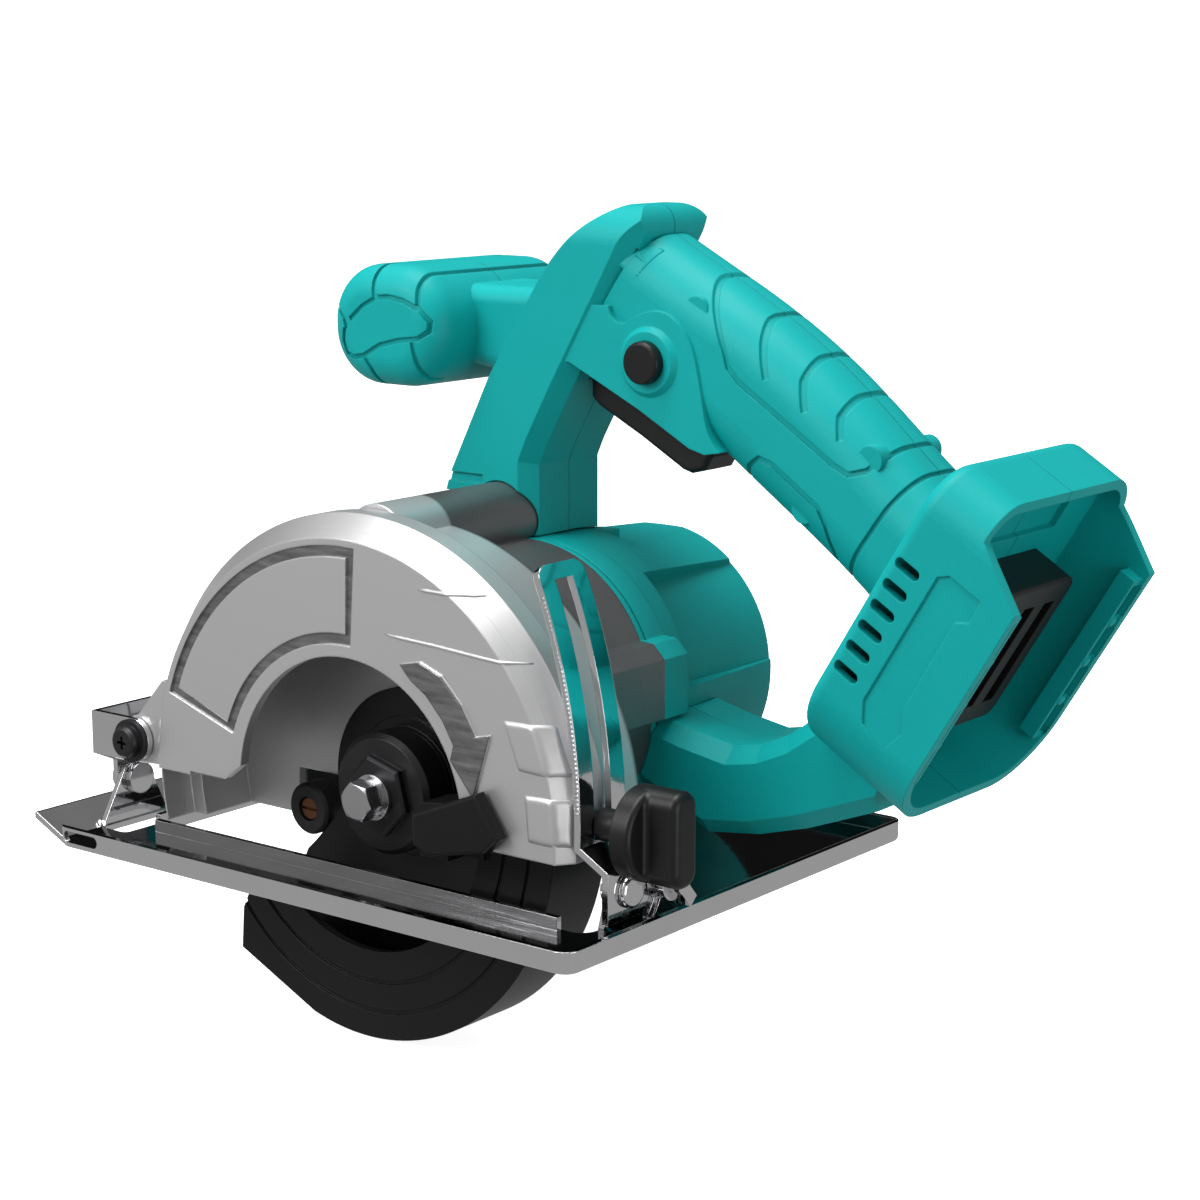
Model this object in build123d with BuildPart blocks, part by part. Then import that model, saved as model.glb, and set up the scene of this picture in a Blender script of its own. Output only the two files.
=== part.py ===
from build123d import *
import os
from math import acos, atan2, cos, degrees, hypot, pi, radians, sin, tan

# Compact cordless circular saw without blade or battery.
# X points the way the saw cuts, Y to the blade side (left), Z up, all in millimetres.
# The sole lies on z = 0 and the cutting plane on y = 0, straight below the arbor.

# Arbor and motor
arbor_z = 24.0
motor_x = -10.6
motor_z = 46.42
gear_module = 0.8
gear_teeth = 46
pinion_teeth = 16
tooth_backlash = 0.12
gear_width = 8.0
gear_right = -29.0

# Blade case
case_left = 24.0
case_step = 8.0
case_back = -12.0
case_wall = 3.0
rim_radius = 80.0
rim_inner = 76.0
bell_radius = 74.5
bell_inner = 71.5
gear_case_radius = 43.6
gear_case_end = -44.0
arch_radius = 41.5
hub_boss_radius = 15.5
barrel_radius = 43.4
barrel_end_radius = 40.2

# Base, bevel and depth setting
sheet = 1.8
base_rear = -94.8
base_front = 96.7
base_left = 44.4
base_right = -113.8
flange_height = 6.2
pivot_x = 83.0
pivot_z = 30.0
bevel_y = 12.0
bevel_z = 14.0
bevel_slot_radius = 11.8
guide_radius = 162.0
guide_y = 11.5
guide_width = 19.0
guide_slot = 7.0
foot_x = -88.0

# Handle
mid_y = -62.0
arch_left = -44.0
arch_width = 36.0
chamfer_size = 4.5
grip_angle = 35.0
bay_origin = (-136.8, 93.9)
bay_depth_dir = (-0.8526, -0.5225)
bay_up_dir = (-0.5225, 0.8526)
bay_width = 75.0
bay_depth = 37.0
bay_floor = 13.0

arbor_axis = Axis((0, 0, arbor_z), (0, 1, 0))
motor_axis = Axis((motor_x, 0, motor_z), (0, 1, 0))
arbor_plane = Plane((0, 0, arbor_z))
motor_plane = Plane((motor_x, 0, motor_z))


def side_plane(y):
    """Upright plane across the saw at this y, drawn as (x, z), extruded to the right."""
    return Plane.XZ.offset(-y)


def polar(radius, angle, centre=(0, arbor_z)):
    """Point (x, z) at an angle from +X towards +Z about a centre."""
    return (centre[0] + radius * cos(radians(angle)), centre[1] + radius * sin(radians(angle)))


def bay_point(depth, up):
    """Point (x, z) of the battery bay from its depth and its height along the bay."""
    x = bay_origin[0] + bay_depth_dir[0] * depth + bay_up_dir[0] * up
    z = bay_origin[1] + bay_depth_dir[1] * depth + bay_up_dir[1] * up
    return (x, z)


def grip_point(along, height):
    """Point (x, z) of the grip from the distance along its axis and the height across it."""
    c, s = cos(radians(grip_angle)), sin(radians(grip_angle))
    return (-c * along - s * height, -s * along + c * height)


def slab(points, left, right, mode=Mode.ADD):
    """Straight-sided block with an (x, z) outline between two y planes."""
    with BuildSketch(side_plane(left)) as outline:
        with BuildLine():
            Polyline(*points, close=True)
        make_face()
    extrude(outline.sketch, amount=left - right, mode=mode)


def rod(x, z, radius, left, right, mode=Mode.ADD):
    """Round bar or hole along Y."""
    with BuildSketch(side_plane(left)) as outline:
        with Locations((x, z)):
            Circle(radius)
    extrude(outline.sketch, amount=left - right, mode=mode)


def rod_x(y, z, radius, rear, front, mode=Mode.ADD):
    """Round bar or hole along X."""
    with BuildSketch(Plane.YZ.offset(rear)) as outline:
        with Locations((y, z)):
            Circle(radius)
    extrude(outline.sketch, amount=front - rear, mode=mode)


def turned(plane, axis, points):
    """Solid turned from a half profile of (radius, y) points."""
    with BuildSketch(plane) as half:
        with BuildLine():
            Polyline(*points, close=True)
        make_face()
    revolve(half.sketch, axis=axis)


def turned_ring(plane, axis, inner, outer, low, high):
    """Plain ring turned about an axis along Y."""
    turned(plane, axis, [(inner, low), (outer, low), (outer, high), (inner, high)])


def groove(points, width, left=-10, right=-114):
    """Narrow band along a line of (x, z) points, between two y planes."""
    one_side = []
    other_side = []
    for place, (x, z) in enumerate(points):
        before = points[max(place - 1, 0)]
        after = points[min(place + 1, len(points) - 1)]
        half = width / 2 / hypot(after[0] - before[0], after[1] - before[1])
        across = ((before[1] - after[1]) * half, (after[0] - before[0]) * half)
        one_side.append((x + across[0], z + across[1]))
        other_side.append((x - across[0], z - across[1]))
    slab(one_side + other_side[::-1], left, right)


def gear_outline(teeth, phase):
    """Points of an involute spur gear about the origin, one tooth at the phase angle."""
    pitch = gear_module * teeth / 2
    base = pitch * cos(radians(20))
    tip = pitch + gear_module
    root = pitch - 1.25 * gear_module
    involute = tan(radians(20)) - radians(20)
    half_pitch = pi / (2 * teeth) + involute - tooth_backlash / (2 * pitch)
    start = max(base, root)
    flank = []
    for step in range(5):
        r = start + (tip - start) * step / 4
        pressure = acos(min(1.0, base / r))
        flank.append((r, half_pitch - (tan(pressure) - pressure)))
    points = []
    for tooth in range(teeth):
        middle = radians(phase) + 2 * pi * tooth / teeth
        if root < base:
            points.append((root * cos(middle - flank[0][1]), root * sin(middle - flank[0][1])))
        for r, half in flank:
            points.append((r * cos(middle - half), r * sin(middle - half)))
        for r, half in reversed(flank):
            points.append((r * cos(middle + half), r * sin(middle + half)))
        if root < base:
            points.append((root * cos(middle + flank[0][1]), root * sin(middle + flank[0][1])))
    return points


def coil(centre, axis, radius, pitch, half_turns):
    """Path of a coil along X, Y or Z made of half-turn arcs that meet tangent to each other."""
    frame = {"X": Plane.YZ, "Y": Plane.XZ, "Z": Plane.XY}[axis]
    frame = Plane(origin=centre, x_dir=frame.x_dir, z_dir=frame.z_dir)
    for step in range(half_turns):
        side = 1 if step % 2 == 0 else -1
        bulge = hypot(radius, pitch / 4)
        start = frame.from_local_coords((side * radius, 0, step * pitch / 2))
        middle = frame.from_local_coords((0, side * bulge, (step + 0.5) * pitch / 2))
        end = frame.from_local_coords((-side * radius, 0, (step + 1) * pitch / 2))
        ThreePointArc(start, middle, end)


centre_line = degrees(atan2(motor_z - arbor_z, motor_x))

# Blade case: stepped bell about the arbor, pivot lug, boss and gear case in one casting
with BuildPart() as blade_case:
    turned(
        arbor_plane,
        arbor_axis,
        [
            (0, case_left),
            (rim_radius - 6, case_left),
            (rim_radius, case_left - 8),
            (rim_radius, case_step + 1.2),
            (rim_radius - 1.2, case_step),
            (bell_radius, case_step),
            (bell_radius, case_back),
            (0, case_back),
        ],
    )
    slab([(-90, -70), (90, -70), (90, 6.5), (49, 6.5), (49, 20.5), (-90, 20.5)], 30, -20, Mode.SUBTRACT)
    slab([(30, 0), (61, 0), (61, 23.8), (47, 23.8), (36, 32), (30, 32)], 30, 18, Mode.SUBTRACT)
    slab([(60, 0), (90, 0), (90, 22.8), (60, 22.8)], 30, 21, Mode.SUBTRACT)
    # Lug that carries the depth pivot
    with BuildSketch(side_plane(23.5)):
        with BuildLine():
            Polyline((62, 24.5), (83, 23), (90, 30), (83, 37), (72, 49), (66, 49), close=True)
        make_face()
        with Locations((pivot_x, pivot_z)):
            Circle(7)
    extrude(amount=19)
    slab([(87, 10), (100, 10), (100, 34), (88.4, 34.5), (90, 30), (88.4, 25.5)], 30, 0, Mode.SUBTRACT)
    # Rounded boss that runs back under the handle
    rod(1.5, 94.5, 11, 8, -56)
    # Gear case and screw ears
    rod(motor_x, motor_z, gear_case_radius, case_back + 3.5, gear_case_end)
    rod(0, arbor_z, 22, case_back + 3.5, -30.5)
    slab([(-58.5, 44), (-58.5, 61), (-54.5, 65), (-40, 66), (-40, 44)], -20, gear_case_end)
    slab([(37.3, 44), (37.3, 61), (33.3, 65), (19, 66), (19, 44)], -20, gear_case_end)
    rod(motor_x, motor_z, gear_case_radius + 0.3, gear_case_end, -57, Mode.SUBTRACT)
    # Room for the blade and the lower guard
    with BuildSketch(side_plane(case_left - case_wall)):
        with Locations((0, arbor_z)):
            Circle(rim_inner)
        with Locations((-78, arbor_z + 5)):
            Rectangle(12, 40, mode=Mode.SUBTRACT)
    extrude(amount=case_left - case_wall - case_step - 2, mode=Mode.SUBTRACT)
    with BuildSketch(side_plane(case_step + 3)):
        with Locations((0, arbor_z)):
            Circle(bell_inner)
    extrude(amount=case_step + 3 + 8.5, mode=Mode.SUBTRACT)
    # Arched opening in the outer face
    with BuildSketch(side_plane(30)):
        with Locations((-1, arbor_z)):
            Circle(arch_radius)
        with Locations((-1, arbor_z - 25)):
            Rectangle(2 * arch_radius, 50)
    extrude(amount=15, mode=Mode.SUBTRACT)
    # Boss that carries the spindle bearing and the lower guard
    rod(0, arbor_z, hub_boss_radius, -8.5, case_back)
    rod(0, arbor_z, hub_boss_radius, -1.2, -9)
    rod(0, arbor_z, 9, 0, -20, Mode.SUBTRACT)
    rod(0, arbor_z, 13.02, -3, -12, Mode.SUBTRACT)
    with BuildSketch(arbor_plane):
        with Locations((hub_boss_radius + 0.5, -1.95)):
            Rectangle(3, 1.0)
    revolve(axis=arbor_axis, mode=Mode.SUBTRACT)
    # Gear room, open to the motor
    rod(motor_x, motor_z, gear_case_radius - 3, -12, gear_case_end, Mode.SUBTRACT)
    rod(0, arbor_z, 20, -12, -28.5 - 0.8, Mode.SUBTRACT)
    spring_gap = [polar(20, centre_line + 90), polar(20, centre_line - 90), (12, 50), (-32, 50)]
    slab(spring_gap, -12, -29.3, Mode.SUBTRACT)
    # Channel that the depth guide slides in, concentric with the depth pivot
    with BuildSketch(side_plane(22)):
        with Locations((pivot_x, pivot_z)):
            Circle(200)
            Circle(160.6, mode=Mode.SUBTRACT)
    extrude(amount=21, mode=Mode.SUBTRACT)
    # Sunk border of the plain panel on the outer face
    with BuildSketch(side_plane(case_left + 1)):
        for inner, outer, start, end, mode in (
            (45, 72, 18, 94, Mode.ADD),
            (48, 69, 20.4, 91.6, Mode.SUBTRACT),
        ):
            with BuildLine():
                outer_line = CenterArc((0, arbor_z), outer, start, end - start)
                inner_line = CenterArc((0, arbor_z), inner, start, end - start)
                Line(outer_line @ 0, inner_line @ 0)
                Line(outer_line @ 1, inner_line @ 1)
            make_face(mode=mode)
    extrude(amount=1.7, mode=Mode.SUBTRACT)
    # Raised arrow that shows which way the blade turns
    arrow = [(47.8, 117), (52.5, 123), (54.8, 131), (55, 141), (54.7, 151), (59.5, 152.3), (48, 168)]
    arrow += [(43.6, 154), (46.6, 150), (47, 141), (47, 131), (46.4, 123)]
    slab([polar(*point) for point in arrow], case_left + 0.8, case_left - 1)
    # Knob thread, pivot hole, motor screw holes and bumper screw hole
    rod_x(guide_y, pivot_z, 2.95, -85, -68, Mode.SUBTRACT)
    rod(pivot_x, pivot_z, 3.05, 30, 0, Mode.SUBTRACT)
    for ear_x in (-53.2, 32.0):
        rod(ear_x, 55, 1.7, -26, gear_case_end, Mode.SUBTRACT)
    rod(39.1, 10.8, 1.55, 0, -13, Mode.SUBTRACT)

# Spindle, gear and clamping stack on the arbor
with BuildPart() as spindle:
    turned(
        arbor_plane,
        arbor_axis,
        [(0, -38.1), (3.97, -38.1), (3.97, -31), (6.5, -31), (6.5, -11), (4.97, -11), (4.97, 6), (0, 6)],
    )
    rod(0, arbor_z, 3.05, 7, -15, Mode.SUBTRACT)

with BuildPart() as drive_gear:
    with BuildSketch(Plane(origin=(0, gear_right + gear_width, arbor_z), x_dir=(1, 0, 0), z_dir=(0, -1, 0))):
        with BuildLine():
            Polyline(*gear_outline(gear_teeth, centre_line), close=True)
        make_face()
        Circle(6.52, mode=Mode.SUBTRACT)
    extrude(amount=gear_width)
    with BuildSketch(arbor_plane):
        with Locations((12.5, gear_right + 7)):
            Rectangle(6, 4)
    revolve(axis=arbor_axis, mode=Mode.SUBTRACT)

with BuildPart() as spindle_bearings:
    turned_ring(arbor_plane, arbor_axis, 5.02, 13, -11, -3)
    turned_ring(arbor_plane, arbor_axis, 4.02, 11, -38, -31)

with BuildPart() as inner_flange:
    turned(
        arbor_plane,
        arbor_axis,
        [(5, -2.8), (8, -2.8), (8, -0.9), (16.8, -0.9), (16.8, -0.3), (16.5, 0), (5, 0)],
    )

with BuildPart() as outer_flange:
    turned(
        arbor_plane,
        arbor_axis,
        [
            (5.05, 0.05),
            (11.5, 0.6),
            (15, 0.05),
            (17.3, 0.05),
            (17.3, 8),
            (15.8, 9.5),
            (3.2, 9.5),
            (3.2, 6.2),
            (5.05, 6.2),
        ],
    )
    with BuildSketch(side_plane(12)):
        with Locations((0, arbor_z)):
            RegularPolygon(10, 6, major_radius=False, rotation=15)
            Circle(3.2, mode=Mode.SUBTRACT)
    extrude(amount=2.5)
    chamfer(outer_flange.faces().sort_by(Axis.Y)[-1].outer_wire().edges(), 0.7)

with BuildPart() as bolt_washer:
    turned_ring(arbor_plane, arbor_axis, 3.2, 6.5, 12.05, 13.4)
    turned_ring(arbor_plane, arbor_axis, 3.2, 5.2, 13.45, 15)

with BuildPart() as blade_bolt:
    with BuildSketch(side_plane(20)):
        with Locations((0, arbor_z)):
            RegularPolygon(5, 6, major_radius=False, rotation=10)
    extrude(amount=4.95)
    with BuildSketch(arbor_plane):
        with BuildLine():
            Polyline((4.75, 20.01), (8, 20.01), (8, 18.2), close=True)
        make_face()
    revolve(axis=arbor_axis, mode=Mode.SUBTRACT)
    rod(0, arbor_z, 3, 15.2, -13)

# Rotor and motor
with BuildPart() as rotor_shaft:
    pinion_plane = Plane(origin=(motor_x, -20, motor_z), x_dir=(1, 0, 0), z_dir=(0, -1, 0))
    with BuildSketch(pinion_plane):
        with BuildLine():
            Polyline(*gear_outline(pinion_teeth, centre_line + 180 + 180 / pinion_teeth), close=True)
        make_face()
    extrude(amount=10)
    turned(
        motor_plane,
        motor_axis,
        [
            (0, -30),
            (5.2, -30),
            (5.2, -31),
            (3.97, -31),
            (3.97, -103),
            (2.97, -103),
            (2.97, -108.4),
            (0, -108.4),
        ],
    )

with BuildPart() as rotor_bearings:
    turned_ring(motor_plane, motor_axis, 4.02, 11, -38, -31)
    turned_ring(motor_plane, motor_axis, 3.02, 9.5, -109, -103.2)

with BuildPart() as bearing_plate:
    rod(motor_x, motor_z, gear_case_radius - 3.05, -38.2, -41)
    rod(0, arbor_z, 13.5, -30.8, -41)
    rod(motor_x, motor_z, 13.5, -30.8, -41)
    rod(motor_x, motor_z, 60, -25, -45, Mode.INTERSECT)
    slab([(-60, 100), (60, 100), (60, 0), (-60, 0)], -30.7, -41, Mode.INTERSECT)
    rod(0, arbor_z, 11.02, -25, -38.2, Mode.SUBTRACT)
    rod(motor_x, motor_z, 11.02, -25, -38.2, Mode.SUBTRACT)
    rod(motor_x, motor_z, 6.5, -25, -45, Mode.SUBTRACT)
    rod(motor_x, motor_z, gear_case_radius - 3.05, -20, -45, Mode.INTERSECT)

with BuildPart() as cooling_fan:
    turned_ring(motor_plane, motor_axis, 4.0, 9, -52, -45)
    turned_ring(motor_plane, motor_axis, 9, 33, -46.6, -45)
    for blade in range(9):
        angle = 40 * blade
        centre = (motor_x, motor_z)
        slab(
            [
                polar(8.5, angle, centre),
                polar(20, angle + 12, centre),
                polar(32.5, angle + 17, centre),
                polar(32.7, angle + 20, centre),
                polar(20, angle + 16, centre),
                polar(8.5, angle + 9, centre),
            ],
            -46.5,
            -52,
        )

with BuildPart() as armature:
    turned_ring(motor_plane, motor_axis, 4.0, 26.5, -86, -60)
    with BuildSketch(side_plane(-55)):
        with Locations((motor_x, motor_z)):
            with PolarLocations(23.5, 12):
                Rectangle(7, 2.6)
    extrude(amount=40, mode=Mode.SUBTRACT)

with BuildPart() as armature_windings:
    turned_ring(motor_plane, motor_axis, 6, 22, -60, -56.2)
    turned_ring(motor_plane, motor_axis, 6, 22, -91, -86)

with BuildPart() as commutator:
    turned_ring(motor_plane, motor_axis, 4.0, 10.5, -102, -94)
    with BuildSketch(side_plane(-93)):
        with Locations((motor_x, motor_z)):
            with PolarLocations(10.5, 12):
                Rectangle(2, 0.5)
    extrude(amount=12, mode=Mode.SUBTRACT)

with BuildPart() as motor_can:
    turned_ring(motor_plane, motor_axis, 32.6, 35.9, -93, -56)

with BuildPart() as field_magnets:
    with BuildSketch(side_plane(-58)):
        with Locations((motor_x, motor_z)):
            Circle(32.5)
            Circle(27.6, mode=Mode.SUBTRACT)
            with PolarLocations(30, 4):
                Rectangle(12, 8, mode=Mode.SUBTRACT)
    extrude(amount=33)

with BuildPart() as brush_plate:
    turned_ring(motor_plane, motor_axis, 27, 35.9, -102, -95)
    with BuildSketch(side_plane(-95)):
        with Locations((motor_x, motor_z)):
            with PolarLocations(21, 2):
                Rectangle(16, 10)
    extrude(amount=7)
    with BuildSketch(side_plane(-96.5)):
        with Locations((motor_x, motor_z)):
            with PolarLocations(18, 2):
                Rectangle(20, 6.2)
    extrude(amount=4.2, mode=Mode.SUBTRACT)

with BuildPart() as carbon_brushes:
    with BuildSketch(side_plane(-96.6)):
        with Locations((motor_x, motor_z)):
            with PolarLocations(16, 2):
                Rectangle(10, 6)
    extrude(amount=4)
    rod(motor_x, motor_z, 10.7, -90, -110, Mode.SUBTRACT)

with BuildPart() as motor_housing:
    rod(motor_x, motor_z, gear_case_radius, gear_case_end - 0.05, -55)
    slab([(-58.5, 44), (-58.5, 61), (-54.5, 65), (-40, 66), (-40, 44)], gear_case_end - 0.05, -55)
    slab([(37.3, 44), (37.3, 61), (33.3, 65), (19, 66), (19, 44)], gear_case_end - 0.05, -55)
    turned(
        motor_plane,
        motor_axis,
        [
            (0, -54),
            (barrel_radius, -54),
            (barrel_radius, -66),
            (barrel_end_radius, -107.5),
            (barrel_end_radius - 2.5, -110),
            (0, -110),
        ],
    )
    # Sunk sides and flat top that leave two raised spines
    centre = (motor_x, motor_z)
    for start in (128, 4):
        with BuildSketch(side_plane(-62)):
            with BuildLine():
                Polyline(
                    centre,
                    polar(60, start, centre),
                    polar(75, start + 24, centre),
                    polar(60, start + 48, centre),
                    close=True,
                )
            make_face()
            with Locations(centre):
                Circle(barrel_radius - 4.9, mode=Mode.SUBTRACT)
        extrude(amount=60, mode=Mode.SUBTRACT)
    slab([(-14, 86), (-45, 86), (-45, 100), (-14, 100)], -71, -115, Mode.SUBTRACT)
    slab([(20, 86), (-15, 86), (-15, 100), (20, 100)], -81, -115, Mode.SUBTRACT)
    # Shallow seam groove round the flange
    with BuildSketch(motor_plane):
        with Locations((gear_case_radius, -46.4)):
            Rectangle(1.6, 0.9)
    revolve(axis=motor_axis, mode=Mode.SUBTRACT)
    rod(motor_x, motor_z, 36, -40, -106.5, Mode.SUBTRACT)
    rod(motor_x, motor_z, 12, -102.8, -107)
    rod(motor_x, motor_z, 9.52, -90, -109.2, Mode.SUBTRACT)
    for ear_x in (-53.2, 32.0):
        rod(ear_x, 55, 2.2, -40, -60, Mode.SUBTRACT)
        rod(ear_x, 55, 3.9, -52, -60, Mode.SUBTRACT)
    # Air slots in the end wall
    with BuildSketch(side_plane(-104)):
        with Locations((motor_x, motor_z)):
            with PolarLocations(21.5, 16):
                SlotOverall(14, 3.2)
    extrude(amount=8, mode=Mode.SUBTRACT)

with BuildPart() as motor_screws:
    for ear_x in (-53.2, 32.0):
        rod(ear_x, 55, 3.5, -52.1, -54.8)
        rod(ear_x, 55, 1.65, -27, -52.2)

# Lower guard with its lever, turning on the bearing boss
guard_outer = [(40.6, -1.6), (47.6, -15.8), (48.5, -28.1), (19.9, -41.4)]
guard_rear = 176
with BuildPart() as lower_guard:
    # Inner web from the hub to the rim
    with BuildSketch(side_plane(-2.8)):
        with BuildLine():
            beak = Polyline((14, 30), (29.7, 9.6), (36.5, 2.3), *guard_outer)
            rim_arc = ThreePointArc(beak @ 1, (-48, arbor_z - 48.1), polar(68, guard_rear))
            Polyline(rim_arc @ 1, (-14, 34), beak @ 0)
        make_face()
    extrude(amount=2.7)
    # Rim wall
    with BuildSketch(side_plane(17)):
        with BuildLine():
            chord = Polyline((48.5, -28.1), (19.9, -41.4))
            outer_arc = ThreePointArc(chord @ 1, (-48, arbor_z - 48.1), polar(68, guard_rear))
            tail = Polyline(outer_arc @ 1, polar(65.5, guard_rear))
            inner_arc = ThreePointArc(tail @ 1, (-46.3, arbor_z - 46.3), (19.4, -38.6))
            Polyline(inner_arc @ 1, (46.0, -25.9), chord @ 0)
        make_face()
    extrude(amount=22.5)
    # Outer crescent
    with BuildSketch(side_plane(17)):
        with BuildLine():
            front = Polyline((36.5, 2.3), *guard_outer)
            out_arc = ThreePointArc(front @ 1, (-48, arbor_z - 48.1), polar(68, guard_rear))
            tail_line = Polyline(out_arc @ 1, polar(43, guard_rear))
            ThreePointArc(tail_line @ 1, polar(43, 255), front @ 0)
        make_face()
    extrude(amount=2.5)
    with BuildSketch(arbor_plane):
        with Locations((51.5, 16.9), (60, 16.9)):
            Rectangle(1.4, 1.2)
    revolve(axis=arbor_axis, mode=Mode.SUBTRACT)
    # Hub
    rod(0, arbor_z, 28, -2.8, -5.5)
    rod(0, arbor_z, 20, -2.5, -8.2)
    # Lever through the arched opening
    slab([polar(31, 168), polar(46, 170), polar(46, 191), polar(31, 195)], 18.5, 14.5)
    slab([polar(30.5, 168), polar(40, 169), polar(40, 192), polar(30.5, 196)], 26, 14.5)
    slab([(-28.7, 27.6), (-51.2, 36.8), (-58.9, 25.8), (-54, 21), (-33.8, 16.5), (-29, 19)], 29, 25.2)
    fillet(lower_guard.edges().filter_by_position(Axis.Y, 28.9, 29.1), 1.2)
    rod(0, arbor_z, hub_boss_radius + 0.06, 5, -15, Mode.SUBTRACT)

with BuildPart() as guard_ring:
    turned_ring(arbor_plane, arbor_axis, 14.6, 17.6, -2.4, -1.5)
    slab([(-2.2, 24 - 20), (2.2, 24 - 20), (2.2, 24 - 12), (-2.2, 24 - 12)], 0, -5, Mode.SUBTRACT)

with BuildPart() as guard_spring:
    with BuildLine() as guard_coil:
        coil((0, -6.1, arbor_z), "Y", 23, 1.3, 3)
    with BuildSketch(Plane(guard_coil.line @ 0, z_dir=guard_coil.line % 0)):
        Circle(0.4)
    sweep(path=guard_coil.wires()[0])

with BuildPart() as stop_bumper:
    turned(
        Plane((39.1, 0, 10.8)),
        Axis((39.1, 0, 10.8), (0, 1, 0)),
        [(1.7, -8.45), (7.7, -8.45), (7.7, -2.4), (6.8, -1.5), (3.6, -1.5), (3.6, -4), (1.7, -4)],
    )

with BuildPart() as bumper_screw:
    rod(39.1, 10.8, 3.2, -2.2, -3.95)
    rod(39.1, 10.8, 1.5, -3.9, -11.8)
    slab([(36, 10.4), (42, 10.4), (42, 11.2), (36, 11.2)], -2, -3, Mode.SUBTRACT)

# Depth setting: front strap, slotted guide and knob
with BuildPart() as front_strap:
    for left, right in ((25.6, 23.8), (4.2, 2.4)):
        with BuildSketch(side_plane(left)):
            with Locations((pivot_x, pivot_z)):
                Circle(6.5)
            with Locations(((pivot_x + 100.6) / 2, pivot_z)):
                Rectangle(100.6 - pivot_x, 13)
        extrude(amount=left - right)
    with BuildSketch(Plane.YZ.offset(98.8)):
        with BuildLine():
            Polyline(
                (25.6, 23.5),
                (25.6, 36.5),
                (2.4, 36.5),
                (2.4, 23.5),
                (6, 20),
                (6, 14),
                (18, 14),
                (18, 20),
                close=True,
            )
        make_face()
        with Locations((bevel_y, bevel_z)):
            Circle(6)
    extrude(amount=1.8)
    rod(pivot_x, pivot_z, 3.05, 30, 0, Mode.SUBTRACT)
    rod_x(bevel_y, bevel_z, 2.55, 95, 105, Mode.SUBTRACT)

with BuildPart() as pivot_screw:
    rod(pivot_x, pivot_z, 6.4, 27.1, 25.9)
    rod(pivot_x, pivot_z, 4.8, 30, 27)
    fillet(pivot_screw.edges().filter_by_position(Axis.Y, 29.9, 30.1), 1.4)
    rod(pivot_x, pivot_z, 3, 26, 2)
    rod(pivot_x, pivot_z, 4.6, 2.1, 0)
    slab([(81, 29.5), (85, 29.5), (85, 30.5), (81, 30.5)], 31, 28.4, Mode.SUBTRACT)
    slab([(82.5, 28), (83.5, 28), (83.5, 32), (82.5, 32)], 31, 28.4, Mode.SUBTRACT)

guide_in = guide_radius - 1
guide_out = guide_radius + 1
pivot = (pivot_x, pivot_z)
with BuildPart() as depth_guide:
    # Strip bent on an arc about the depth pivot, joggled back to the foot
    with BuildSketch(side_plane(guide_y + guide_width / 2)):
        with BuildLine():
            inside = CenterArc(pivot, guide_in, 155.6, 182 - 155.6)
            foot_side = Polyline(
                inside @ 1,
                (foot_x + 1, 19.2),
                (foot_x + 1, 16),
                (foot_x - 1, 16),
                (foot_x - 1, 20.3),
                polar(guide_out, 181.6, pivot),
            )
            outside = CenterArc(pivot, guide_out, 181.6, 155.6 - 181.6)
            Line(outside @ 1, inside @ 0)
        make_face()
    extrude(amount=guide_width)
    fillet(
        depth_guide.edges().filter_by_position(Axis.Z, 90, 110).filter_by(lambda e: abs(e.length - 2) < 0.2),
        4,
    )
    # Foot plate across the base with the bevel slot
    with BuildSketch(Plane.YZ.offset(foot_x - 1)):
        with BuildLine():
            Polyline(
                (14.4, 2.3),
                (17.8, 3.8),
                (21, 6.4),
                (21, 19.2),
                (-6.5, 19.2),
                (-9, 16.7),
                (-9, 2.3),
                close=True,
            )
        make_face()
    extrude(amount=2)
    with BuildSketch(Plane.YZ.offset(foot_x - 2)):
        with Locations((bevel_y, bevel_z)):
            Circle(2.55)
        with BuildLine(mode=Mode.PRIVATE) as slot_line:
            CenterArc((bevel_y, bevel_z), bevel_slot_radius, 180, 45)
        SlotArc(slot_line.edge(), 5.1)
    extrude(amount=4, mode=Mode.SUBTRACT)
    # Slot that the knob's stud rides in
    with BuildSketch(side_plane(guide_y + guide_slot / 2)):
        with BuildLine():
            in_arc = CenterArc(pivot, 150, 157.1, 181.3 - 157.1)
            out_arc = CenterArc(pivot, 175, 157.1, 181.3 - 157.1)
            Line(in_arc @ 0, out_arc @ 0)
            Line(in_arc @ 1, out_arc @ 1)
        make_face()
    extrude(amount=guide_slot, mode=Mode.SUBTRACT)

with BuildPart() as depth_knob:
    # Collar, then a thick wing to turn it by
    rod_x(guide_y, pivot_z, 4.4, -91.6, -80.3)
    rod_x(guide_y, pivot_z, 12.5, -97.5, -91.5)
    with BuildSketch(Plane.YZ.offset(-107)):
        with Locations((guide_y, pivot_z)):
            RectangleRounded(10, 25.5, 4.5)
    extrude(amount=12)
    fillet(depth_knob.edges().filter_by_position(Axis.X, -107.1, -106.9), 2.2)
    fillet(depth_knob.edges().filter_by(GeomType.CIRCLE).filter_by_position(Axis.X, -97.6, -97.4), 1.5)
    rod_x(guide_y, pivot_z, 2.9, -80.4, -70.5)

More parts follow.
